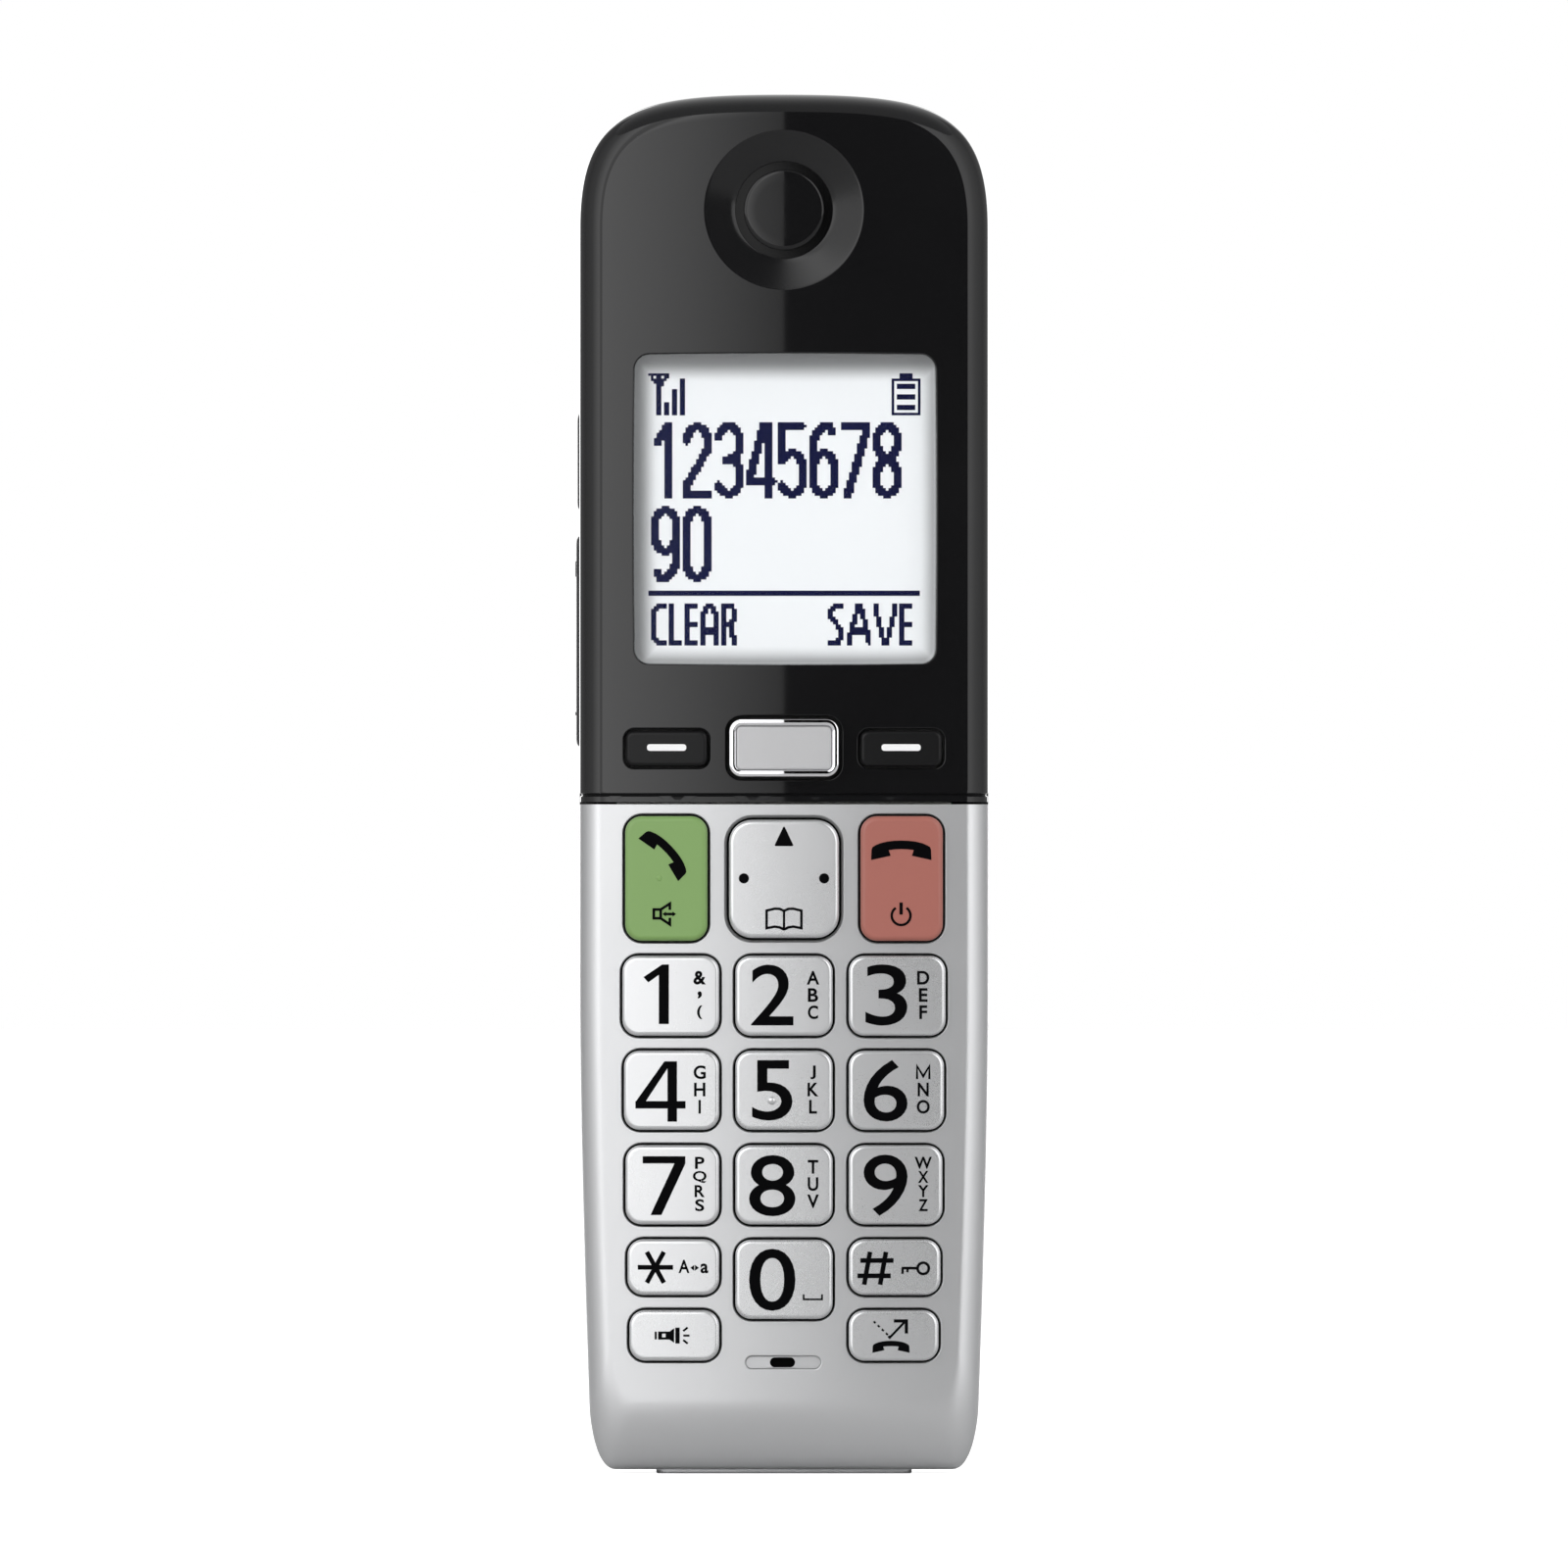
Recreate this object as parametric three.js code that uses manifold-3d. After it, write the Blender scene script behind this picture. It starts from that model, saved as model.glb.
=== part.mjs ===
// Cordless telephone handset with large keys, standing on its foot.
// Millimetres. +Z runs up along the handset, the front faces -Y, and +X is to the right of the front.
// The origin is on the floor, in the middle of the foot.
import * as THREE from 'three';
import { mergeVertices } from 'three/addons/utils/BufferGeometryUtils.js';
import Module from 'manifold-3d';

const wasm = await Module();
wasm.setup();

// Case
const halfWidth = 26.1;
const height = 176;
const footHeight = 0.55;
const footHalfWidth = 16.3;
const frontY = -13;
const backY = 15;
const splitY = -1; // back edge of the front covers
const seamZ = 85.55; // between the upper and the lower front cover
const wall = 1.8;
const gap = 0.3; // clearance between neighbouring pieces
const midZ = 88;
const frontRim = { side: 3, top: 3, bottom: 9, depth: 4.5 };
const backRim = { side: 6, top: 5, bottom: 5, depth: 9 };
const rimSteps = 4;

// Keys on the front
const wallBackY = frontY + wall;
const flange = { front: wallBackY + gap, thick: 0.8, wide: 0.6 };
const columnInner = 8.25; // inner edge of the outer columns
const centreKeyWidth = 12.4;
const rows = [
  { z: 61.0, height: 10.2, outer: 20.6, names: ['key_1', 'key_2', 'key_3'] },
  { z: 48.95, height: 10.1, outer: 20.4, names: ['key_4', 'key_5', 'key_6'] },
  { z: 36.9, height: 10.1, outer: 20.2, names: ['key_7', 'key_8', 'key_9'] },
];
const zeroKey = { z: 24.85, height: 10.1 };
const starRow = { z: 26.4, height: 7.1, outer: 19.95, names: ['key_star', 'key_hash'] };
const toolRow = { z: 17.7, height: 6.45, outer: 19.7, names: ['torch_key', 'transfer_key'] };
const callKey = { x: 15, z: 75.95, width: 10.5, height: 15.9, radius: 2 };
const softKey = { x: 14.95, z: 92.5, width: 10.4, height: 4.5, radius: 1.1 };
const centerKey = { z: 92.6, width: 14, height: 7.4, radius: 1.5, border: 0.6 };
const navigator = { z: 75.9, width: 14, height: 15.05, radius: 3, margin: 0.5 };
const rise = { number: 1, call: 1.1, soft: 0.6, center: 1.2, navigator: 1.3 };
const numberRadius = 1.9;

// Display, earpiece and microphone
const display = { z: 123.1, width: 38.3, height: 39.4, radius: 1.8 };
const earpiece = { z: 161.2, dish: 10.05, dishDepth: 0.6, hole: 6.2, cap: 5.15 };
const micSlot = { z: 14.25, width: 9.55, height: 1.6 };

// Layers inside
const mat = { front: -9.1, back: -8.1, halfWidth: 21.3, bottom: 12.6, top: 97.5 };
const board = { front: -4.9, back: -3.6, halfWidth: 21.5, bottom: 12.5, top: 152 };

// Side keys, in the left wall
const sideKeyY = 2.8;
const sideKeyWidth = 4.4;
const volumeKey = { z: 106.25, length: 27, rise: 0.45, slack: 0.8 };
const boostKey = { z: 129.2, length: 12.6, rise: 0.3, slack: gap };

// Battery bay, battery cover and charge contacts
const deck = { front: 10.2, back: 11.8 };
const coverTop = 88;
const bay = { halfWidth: 11.8, front: -1.5, bottom: 21.5, top: 74.5, wall: 1.4 };
const cell = { x: 5.7, y: 3.9, radius: 5.1, bottom: 25, length: 44.5 };
const contact = { x: 11.5, halfWidth: 1.9, front: 2.3, back: 6.7, bottom: 0.3 };

// Screws, loudspeaker and torch
const screw = { headRadius: 2.6, shankRadius: 1.1, boss: 2.6, pillar: 3.2, tip: -5 };
const screwPlaces = [
  { name: 'screw_bottom_left', x: -15, z: 8.5, seat: 9.6 },
  { name: 'screw_bottom_right', x: 15, z: 8.5, seat: 9.6 },
  { name: 'screw_top_left', x: -15.5, z: 160, seat: 12.2 },
  { name: 'screw_top_right', x: 15.5, z: 160, seat: 12.2 },
];
const grille = { z: 134, slots: 7, pitch: 2.6, width: 17, height: 1.2 };
const torch = { y: 3, halfWidth: 3.2, halfDepth: 1.4, top: 175.7 };

const finish = (color, roughness, metalness = 0) =>
  new THREE.MeshStandardMaterial({ color, roughness, metalness });
const glossBlack = finish(0x141415, 0.12);
const satinBlack = finish(0x1d1e20, 0.5);
const silver = finish(0xbfc0c2, 0.38, 0.4);
const keySilver = finish(0xc9cacc, 0.34, 0.4);
const chrome = finish(0xd9dadc, 0.08, 1);
const insertGrey = finish(0xbdbdbd, 0.4, 0.3);
const talkGreen = finish(0x88a868, 0.4);
const offRed = finish(0xab7066, 0.4);
const clear = finish(0xdfe5e8, 0.05);
const lcdWhite = finish(0xf3f5f8, 0.3);
const whitePlastic = finish(0xe8e8e4, 0.5);
const silicone = finish(0xd6d6d2, 0.7);
const boardGreen = finish(0x2c5a3a, 0.5);
const steel = finish(0xb5b7ba, 0.3, 1);
const brass = finish(0xc8a65a, 0.3, 1);
const cellWrap = finish(0x4d7a52, 0.35);
const darkPlastic = finish(0x26272a, 0.6);

// --- Shapes ---------------------------------------------------------------

// Closed surface through rings of points, the first ring in front and each ring convex.
function loft(rings) {
  const count = rings[0].length;
  const positions = rings.flat().flatMap((p) => [p.x, p.y, p.z]);
  const index = [];
  for (let k = 0; k < rings.length - 1; k += 1) {
    for (let i = 0; i < count; i += 1) {
      const next = (i + 1) % count;
      const [a, b] = [k * count + i, k * count + next];
      index.push(a, a + count, b, b, a + count, b + count);
    }
  }
  const last = (rings.length - 1) * count;
  for (let i = 1; i < count - 1; i += 1) {
    index.push(0, i, i + 1, last, last + i + 1, last + i);
  }
  const geometry = new THREE.BufferGeometry();
  geometry.setAttribute('position', new THREE.Float32BufferAttribute(positions, 3));
  geometry.setIndex(index);
  return geometry;
}

// Rounded rectangle in the plane of the front face, as a ring at depth y.
function roundedRing(x, z, width, depth, radius, y, steps = 3) {
  const corners = [
    [1, -1, -90],
    [1, 1, 0],
    [-1, 1, 90],
    [-1, -1, 180],
  ];
  const ring = [];
  for (const [sx, sz, start] of corners) {
    for (let k = 0; k <= steps; k += 1) {
      const angle = THREE.MathUtils.degToRad(start + (90 * k) / steps);
      const px = x + sx * (width / 2 - radius) + radius * Math.cos(angle);
      const pz = z + sz * (depth / 2 - radius) + radius * Math.sin(angle);
      ring.push(new THREE.Vector3(px, y, pz));
    }
  }
  return ring;
}

function roundRing(x, z, radius, y, steps = 20) {
  const ring = [];
  for (let k = 0; k < steps; k += 1) {
    const angle = (2 * Math.PI * k) / steps;
    ring.push(new THREE.Vector3(x + radius * Math.cos(angle), y, z + radius * Math.sin(angle)));
  }
  return ring;
}

function plate(x, z, width, depth, radius, front, back) {
  return loft([front, back].map((y) => roundedRing(x, z, width, depth, radius, y)));
}

function disc(x, z, radius, front, back, steps = 20) {
  return loft([front, back].map((y) => roundRing(x, z, radius, y, steps)));
}

function box(x0, x1, y0, y1, z0, z1) {
  const geometry = new THREE.BoxGeometry(x1 - x0, y1 - y0, z1 - z0);
  return geometry.translate((x0 + x1) / 2, (y0 + y1) / 2, (z0 + z1) / 2);
}

// Turns a geometry into a solid that can be joined and cut.
function solid(geometry) {
  const source = geometry.clone();
  source.deleteAttribute('normal');
  source.deleteAttribute('uv');
  const merged = mergeVertices(source, 1e-4);
  const mesh = new wasm.Mesh({
    numProp: 3,
    vertProperties: new Float32Array(merged.attributes.position.array),
    triVerts: new Uint32Array(merged.index.array),
  });
  return new wasm.Manifold(mesh);
}

function join(start, ...pieces) {
  return pieces.reduce((sum, piece) => sum.add(solid(piece)), start);
}

function cut(start, ...pieces) {
  return pieces.reduce((rest, piece) => rest.subtract(solid(piece)), start);
}

function surface(shape) {
  const mesh = shape.getMesh();
  const geometry = new THREE.BufferGeometry();
  geometry.setAttribute('position', new THREE.BufferAttribute(mesh.vertProperties, 3));
  geometry.setIndex(new THREE.BufferAttribute(mesh.triVerts, 1));
  return geometry;
}

const phone = new THREE.Group();

function add(name, shape, material) {
  const geometry = shape.isBufferGeometry ? shape : surface(shape);
  geometry.computeVertexNormals();
  const mesh = new THREE.Mesh(geometry, material);
  mesh.name = name;
  phone.add(mesh);
}

// --- Case -----------------------------------------------------------------

// Front view of the case: flat foot, soft bottom corners, sides that widen upwards, round top.
function caseOutline() {
  const path = new THREE.Path();
  path.moveTo(21.5, footHeight);
  path.bezierCurveTo(24.25, footHeight, 24.8, 7.5, 24.84, 8.5);
  path.quadraticCurveTo(halfWidth, 42.5, halfWidth, 63);
  path.lineTo(halfWidth, 159);
  path.bezierCurveTo(halfWidth, 174.5, 18.5, height, 0, height);
  const steps = [4, 3, 1, 9];
  const right = path.curves.flatMap((curve, i) => curve.getPoints(steps[i]).slice(i ? 1 : 0));
  const left = right.slice(0, -1).reverse().map((p) => new THREE.Vector2(-p.x, p.y));
  return [...right, ...left];
}

const outline = caseOutline();

function caseRing(y, rim, share, inset) {
  const across = (halfWidth - inset - rim.side * share) / halfWidth;
  const up = (height - midZ - inset - rim.top * share) / (height - midZ);
  const down = (midZ - footHeight - inset - rim.bottom * share) / (midZ - footHeight);
  return outline.map((p) => {
    const stretch = p.y > midZ ? up : down;
    return new THREE.Vector3(p.x * across, y, midZ + (p.y - midZ) * stretch);
  });
}

// The whole case as one block, moved in by inset on all sides.
function caseBlock(inset) {
  const front = [];
  const back = [];
  for (let k = 0; k <= rimSteps; k += 1) {
    const angle = (Math.PI / 2) * (k / rimSteps);
    const share = 1 - Math.sin(angle);
    const run = 1 - Math.cos(angle);
    front.push(caseRing(frontY + inset + frontRim.depth * run, frontRim, share, inset));
    back.unshift(caseRing(backY - inset - backRim.depth * run, backRim, share, inset));
  }
  return solid(loft([...front, ...back]));
}

const far = 200;
const caseOuter = caseBlock(0);
const caseShell = caseOuter.subtract(caseBlock(wall));

function opening(key) {
  return plate(key.x, key.z, key.width + 2 * gap, key.height + 2 * gap, key.radius + gap, -far, far);
}

function screwBoss(place) {
  return disc(place.x, place.z, screw.boss, wallBackY - 0.5, splitY, 12);
}

function screwHole(place) {
  return disc(place.x, place.z, screw.shankRadius + gap, screw.tip - 1, splitY + 1, 12);
}

function frontCoverUpper(keys) {
  const half = caseShell.intersect(solid(box(-far, far, -far, splitY, seamZ + gap / 2, far)));
  const places = screwPlaces.filter((place) => place.z > seamZ);
  const windowHole = plate(0, display.z, display.width, display.height, display.radius, -far, far);
  const dish = disc(0, earpiece.z, earpiece.dish, -far, frontY + earpiece.dishDepth, 32);
  const soundHole = disc(0, earpiece.z, earpiece.hole, -far, 0, 24);
  const holed = cut(half, windowHole, dish, soundHole, ...keys.map(opening));
  return cut(join(holed, ...places.map(screwBoss)), ...places.map(screwHole));
}

function frontCoverLower(keys) {
  const half = caseShell.intersect(solid(box(-far, far, -far, splitY, -far, seamZ - gap / 2)));
  const places = screwPlaces.filter((place) => place.z < seamZ);
  const foot = box(-footHalfWidth, footHalfWidth, -7, splitY, 0, 1.5);
  const slot = plate(0, micSlot.z, micSlot.width, micSlot.height, 0.75, -far, frontY + 0.9);
  const soundHole = plate(0, micSlot.z, 3.2, 1.2, 0.55, -far, 0);
  const holed = cut(join(half, foot), slot, soundHole, ...keys.map(opening));
  return cut(join(holed, ...places.map(screwBoss)), ...places.map(screwHole));
}

function grilleSlots() {
  const slots = [];
  for (let k = 0; k < grille.slots; k += 1) {
    const z = grille.z + (k - (grille.slots - 1) / 2) * grille.pitch;
    slots.push(plate(0, z, grille.width, grille.height, 0.55, 12, far));
  }
  return slots;
}

function sideOpening(key) {
  const hole = plate(-sideKeyY, key.z, sideKeyWidth + 2 * gap, key.length + 2 * gap, 1.5, -far, -20);
  return hole.rotateZ(-Math.PI / 2);
}

function bayBlock(grow, front, back) {
  return box(-bay.halfWidth - grow, bay.halfWidth + grow, front, back, bay.bottom - grow, bay.top + grow);
}

function rearCover() {
  const rear = solid(box(-far, far, splitY + gap, far, -far, far));
  const coverRoom = solid(box(-far, far, deck.back, far, -far, coverTop));
  const deckSlab = caseOuter.intersect(solid(box(-far, far, deck.front, deck.back, -far, coverTop + wall)));
  const step = caseOuter.intersect(solid(box(-far, far, deck.front, far, coverTop, coverTop + wall)));
  const shell = caseShell.intersect(rear).subtract(coverRoom).add(deckSlab).add(step);
  const pillars = screwPlaces.map((p) => disc(p.x, p.z, screw.pillar, splitY + gap, p.seat + 1.5, 16));
  const foot = box(-footHalfWidth, footHalfWidth, splitY + gap, 9, 0, 1.5);
  const bayWalls = bayBlock(bay.wall, bay.front - bay.wall, deck.front + 0.5);
  const body = join(shell, bayWalls, foot, ...pillars);
  const shanks = screwPlaces.map((p) => disc(p.x, p.z, screw.shankRadius + gap, -far, far, 12));
  const heads = screwPlaces.map((p) => disc(p.x, p.z, screw.headRadius + gap, p.seat, far, 16));
  const contactSlots = [-1, 1].map((side) => {
    const x = side * contact.x;
    const half = contact.halfWidth + gap;
    return box(x - half, x + half, contact.front - gap, contact.back + gap, -1, 4);
  });
  const torchHole = box(
    -torch.halfWidth - gap, torch.halfWidth + gap,
    torch.y - torch.halfDepth - gap, torch.y + torch.halfDepth + gap, 172, far,
  );
  const sides = [volumeKey, boostKey].map(sideOpening);
  const bayRoom = bayBlock(0, bay.front, far);
  return cut(body, bayRoom, ...shanks, ...heads, ...contactSlots, torchHole, ...sides, ...grilleSlots());
}

function batteryCover() {
  const room = solid(box(-far, far, deck.back + gap, far, -far, coverTop - gap));
  const hollow = box(-19, 19, 0, 13.5, 9, 82);
  const thumbNotch = box(-6, 6, backY - 0.8, far, 76, 82);
  return cut(caseOuter.intersect(room), hollow, thumbNotch);
}

// --- Keys -----------------------------------------------------------------

// A key with a bevelled top in front of the case and a flange that holds it behind the wall.
function keyShape(key, top, bevel = 0.5, hold = flange) {
  const ring = (grow, y) => {
    const radius = Math.max(key.radius + grow, 0.3);
    return roundedRing(key.x, key.z, key.width + 2 * grow, key.height + 2 * grow, radius, y);
  };
  return loft([
    ring(-bevel, top),
    ring(0, top + bevel),
    ring(0, hold.front),
    ring(hold.wide, hold.front),
    ring(hold.wide, hold.front + hold.thick),
  ]);
}

function numberKeys() {
  const keys = [];
  const side = (row, name, sign) => {
    const width = row.outer - columnInner;
    const x = sign * (columnInner + width / 2);
    keys.push({ name, x, z: row.z, width, height: row.height, radius: numberRadius });
  };
  const centre = (name, row) => {
    keys.push({ name, x: 0, z: row.z, width: centreKeyWidth, height: row.height, radius: numberRadius });
  };
  for (const row of rows) {
    side(row, row.names[0], -1);
    centre(row.names[1], row);
    side(row, row.names[2], 1);
  }
  centre('key_0', zeroKey);
  for (const row of [starRow, toolRow]) {
    side(row, row.names[0], -1);
    side(row, row.names[1], 1);
  }
  return keys;
}

const numbers = numberKeys();
const talk = { name: 'talk_key', ...callKey, x: -callKey.x };
const off = { name: 'off_key', ...callKey };
const softs = [
  { name: 'soft_key_left', ...softKey, x: -softKey.x },
  { name: 'soft_key_right', ...softKey },
];
const middle = { name: 'center_key_frame', x: 0, ...centerKey };
const pad = { name: 'navigator_key', x: 0, ...navigator };
const padOpening = {
  ...pad,
  width: pad.width + 2 * (navigator.margin - gap),
  height: pad.height + 2 * (navigator.margin - gap),
};

for (const key of numbers) {
  add(key.name, keyShape(key, frontY - rise.number), keySilver);
}
add(talk.name, keyShape(talk, frontY - rise.call), talkGreen);
add(off.name, keyShape(off, frontY - rise.call), offRed);
for (const key of softs) {
  add(key.name, keyShape(key, frontY - rise.soft, 0.4), glossBlack);
}

// The centre key is a chrome frame with a grey insert clipped into it.
const insert = {
  ...middle,
  width: middle.width - 2 * (centerKey.border + gap),
  height: middle.height - 2 * (centerKey.border + gap),
  radius: 0.8,
};
const frameTop = frontY - rise.center;
const insertRoom = plate(0, middle.z, insert.width + 2 * gap, insert.height + 2 * gap, 1, -far, far);
add(middle.name, cut(solid(keyShape(middle, frameTop, 0.3)), insertRoom), chrome);
add('center_key_insert', loft([
  roundedRing(0, middle.z, insert.width - 0.6, insert.height - 0.6, 0.6, frameTop + 0.1),
  roundedRing(0, middle.z, insert.width, insert.height, 0.8, frameTop + 0.4),
  roundedRing(0, middle.z, insert.width, insert.height, 0.8, flange.front + flange.thick),
]), insertGrey);

// The navigator tilts on a small pivot pin behind its middle.
const padFlange = { front: flange.front + 0.5, thick: 0.5, wide: 0.6 };
const pivotFront = padFlange.front + padFlange.thick + gap;
add(pad.name, keyShape(pad, frontY - rise.navigator, 0.6, padFlange), keySilver);
add('navigator_pivot', disc(0, pad.z, 2, pivotFront, board.front - 1, 16), darkPlastic);

function sideKey(key) {
  const front = -halfWidth - key.rise;
  const inner = -halfWidth + wall + key.slack;
  const ring = (grow, y) => {
    return roundedRing(-sideKeyY, key.z, sideKeyWidth + 2 * grow, key.length + 2 * grow, 1.2 + grow, y);
  };
  const cap = [ring(-0.3, front), ring(0, front + 0.3), ring(0, inner)];
  const foot = [ring(flange.wide, inner), ring(flange.wide, inner + flange.thick)];
  return loft([...cap, ...foot]).rotateZ(-Math.PI / 2);
}

add('volume_key', sideKey(volumeKey), satinBlack);
add('boost_key', sideKey(boostKey), satinBlack);

// --- Covers ---------------------------------------------------------------

add('front_cover_upper', frontCoverUpper([...softs, middle]), glossBlack);
add('front_cover_lower', frontCoverLower([...numbers, talk, off, padOpening]), silver);
add('rear_cover', rearCover(), satinBlack);
add('battery_cover', batteryCover(), satinBlack);

// --- Display and earpiece -------------------------------------------------

add('display_window', loft([
  roundedRing(0, display.z, display.width - 2 * gap, display.height - 2 * gap, 1.5, frontY + 0.3),
  roundedRing(0, display.z, display.width - 2 * gap, display.height - 2 * gap, 1.5, flange.front),
  roundedRing(0, display.z, display.width + 2.6, display.height + 2.6, 2, flange.front),
  roundedRing(0, display.z, display.width + 2.6, display.height + 2.6, 2, -9.9),
]), clear);
add('lcd_panel', plate(0, display.z, display.width + 1.5, display.height + 2, 0.5, -9.6, -7.8), lcdWhite);
const lightWidth = display.width + 2.5;
add('backlight', plate(0, display.z, lightWidth, display.height + 2.5, 0.8, -7.5, -5.3), whitePlastic);
add('earpiece_cap', loft([
  roundRing(0, earpiece.z, earpiece.cap - 0.3, frontY + 0.3, 24),
  roundRing(0, earpiece.z, earpiece.cap, frontY + 0.6, 24),
  roundRing(0, earpiece.z, earpiece.cap, flange.front, 24),
  roundRing(0, earpiece.z, earpiece.hole + 1.8, flange.front, 24),
  roundRing(0, earpiece.z, earpiece.hole + 1.8, flange.front + 0.8, 24),
]), glossBlack);
add('earpiece_speaker', disc(0, earpiece.z, 7.5, flange.front + 1.1, -6.6, 20), steel);

// --- Inside ---------------------------------------------------------------

// Silicone mat with a plunger behind every key and a hole round the navigator's pivot.
function keypadMat() {
  const height = mat.top - mat.bottom;
  const sheet = plate(0, (mat.top + mat.bottom) / 2, 2 * mat.halfWidth, height, 2, mat.front, mat.back);
  const padPlaces = [[-5, 0], [5, 0], [0, -5.2], [0, 5.2]].map(([x, z]) => ({ x, z: pad.z + z }));
  const places = [...numbers, talk, off, ...softs, middle, ...padPlaces];
  const plungers = places.map((p) => {
    return box(p.x - 1.6, p.x + 1.6, mat.back - 0.2, board.front - 0.4, p.z - 1.3, p.z + 1.3);
  });
  return cut(join(solid(sheet), ...plungers), disc(0, pad.z, 3, -far, far, 12));
}

add('keypad_mat', keypadMat(), silicone);
const boardMiddle = (board.top + board.bottom) / 2;
const boardLength = board.top - board.bottom;
const boardWidth = 2 * board.halfWidth;
add('main_board', plate(0, boardMiddle, boardWidth, boardLength, 2, board.front, board.back), boardGreen);
add('antenna', box(-19, -7, board.back + gap, board.back + 1, 143, 149), steel);
add('microphone', disc(0, micSlot.z, 2.2, flange.front, mat.front - gap, 16), steel);
add('loudspeaker', disc(0, grille.z, 13, 8.6, backY - wall - gap, 28), steel);

function batteryCell(x) {
  const tube = new THREE.CylinderGeometry(cell.radius, cell.radius, cell.length - 1, 20);
  const nub = new THREE.CylinderGeometry(1.8, 1.8, 2, 12);
  tube.rotateX(Math.PI / 2).translate(x, cell.y, cell.bottom + (cell.length - 1) / 2);
  nub.rotateX(Math.PI / 2).translate(x, cell.y, cell.bottom + cell.length - 1);
  return join(solid(tube), nub);
}

add('battery_cell_left', batteryCell(-cell.x), cellWrap);
add('battery_cell_right', batteryCell(cell.x), cellWrap);

// Contact plates at the ends of the bay: springs below, flat bumps above.
function batteryContacts(z0, z1, tip, tipRadius) {
  const half = bay.halfWidth - gap;
  const blade = box(-half, half, bay.front + gap, 9.5, z0, z1);
  const studs = [-cell.x, cell.x].map((x) => {
    const length = Math.abs(tip - (z0 + z1) / 2);
    const stud = new THREE.CylinderGeometry(tipRadius, tipRadius, length, 12);
    return stud.rotateX(Math.PI / 2).translate(x, cell.y, (tip + (z0 + z1) / 2) / 2);
  });
  return join(solid(blade), ...studs);
}

const bladeThick = 0.6;
const springBack = bay.bottom + gap;
const contactBack = bay.top - gap;
const cellTop = cell.bottom + cell.length;
const springs = batteryContacts(springBack, springBack + bladeThick, cell.bottom - gap, 2.6);
add('battery_spring_plate', springs, steel);
const bumps = batteryContacts(contactBack - bladeThick, contactBack, cellTop + gap, 2.2);
add('battery_contact_plate', bumps, steel);

function chargeContact(side) {
  const [x0, x1] = [side * contact.x - contact.halfWidth, side * contact.x + contact.halfWidth];
  const foot = box(x0, x1, contact.front, contact.back, contact.bottom, contact.bottom + 0.8);
  const leg = box(x0, x1, contact.back - 0.8, contact.back, contact.bottom, 4.6);
  return join(solid(foot), leg);
}

add('charge_contact_left', chargeContact(-1), brass);
add('charge_contact_right', chargeContact(1), brass);

function torchLens() {
  const [w, d] = [torch.halfWidth, torch.halfDepth];
  const pane = box(-w, w, torch.y - d, torch.y + d, 173.4, torch.top);
  const rim = box(-w - 0.8, w + 0.8, torch.y - d - 0.8, torch.y + d + 0.8, 172.7, 173.6);
  return join(solid(pane), rim);
}

add('torch_lens', torchLens(), clear);
const led = new THREE.CylinderGeometry(1.6, 1.6, 4, 16);
add('torch_led', led.rotateX(Math.PI / 2).translate(0, torch.y, 170.3), whitePlastic);

// Cross-head screw from the back into a boss of the front cover.
function caseScrew(place) {
  const headFront = place.seat + gap;
  const shank = disc(place.x, place.z, screw.shankRadius, screw.tip, headFront + 0.2, 10);
  const head = disc(place.x, place.z, screw.headRadius, headFront, headFront + 1.6, 16);
  const slots = [[2.6, 0.7], [0.7, 2.6]].map(([w, h]) => {
    return plate(place.x, place.z, w, h, 0.1, headFront + 1, far);
  });
  return cut(join(solid(shank), head), ...slots);
}

for (const place of screwPlaces) {
  add(place.name, caseScrew(place), steel);
}

export default phone;
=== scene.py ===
# Cordless telephone handset with large keys: the finished look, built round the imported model.
# Shapes are given in millimetres, in the model's own frame, and makePiece turns them into metres.
import math
import bmesh
import bpy
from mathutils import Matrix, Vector
from mathutils.geometry import delaunay_2d_cdt


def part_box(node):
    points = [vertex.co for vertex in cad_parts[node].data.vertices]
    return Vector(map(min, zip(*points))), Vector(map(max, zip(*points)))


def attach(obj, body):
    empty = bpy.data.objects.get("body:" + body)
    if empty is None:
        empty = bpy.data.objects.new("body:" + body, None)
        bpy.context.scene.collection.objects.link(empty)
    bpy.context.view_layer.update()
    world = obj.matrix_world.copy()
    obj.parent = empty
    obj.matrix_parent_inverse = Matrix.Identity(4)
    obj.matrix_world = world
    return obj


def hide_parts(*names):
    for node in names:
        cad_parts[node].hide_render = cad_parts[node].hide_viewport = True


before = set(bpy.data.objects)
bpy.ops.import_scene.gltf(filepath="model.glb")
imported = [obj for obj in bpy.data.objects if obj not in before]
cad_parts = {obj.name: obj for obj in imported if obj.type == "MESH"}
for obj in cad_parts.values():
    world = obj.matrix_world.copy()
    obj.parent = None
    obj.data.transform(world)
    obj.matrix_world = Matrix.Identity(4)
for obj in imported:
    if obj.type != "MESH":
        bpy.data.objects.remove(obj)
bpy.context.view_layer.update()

mm = 0.001
mergeDistance = 1e-7

print("stage: camera")
viewSetup = {"distance": 5000, "plane": -11, "frameWidth": 200, "height": 88, "sensor": 36}

camera = bpy.data.objects.new("camera", bpy.data.cameras.new("camera"))
bpy.context.scene.collection.objects.link(camera)
camera.location = (0, (viewSetup["plane"] - viewSetup["distance"]) * mm, viewSetup["height"] * mm)
camera.rotation_euler = (math.pi / 2, 0, 0)
camera.data.sensor_width = viewSetup["sensor"]
camera.data.lens = viewSetup["sensor"] * viewSetup["distance"] / viewSetup["frameWidth"]
bpy.context.scene.camera = camera
bpy.context.scene.view_settings.view_transform = "Standard"

print("stage: finishes")


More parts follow.
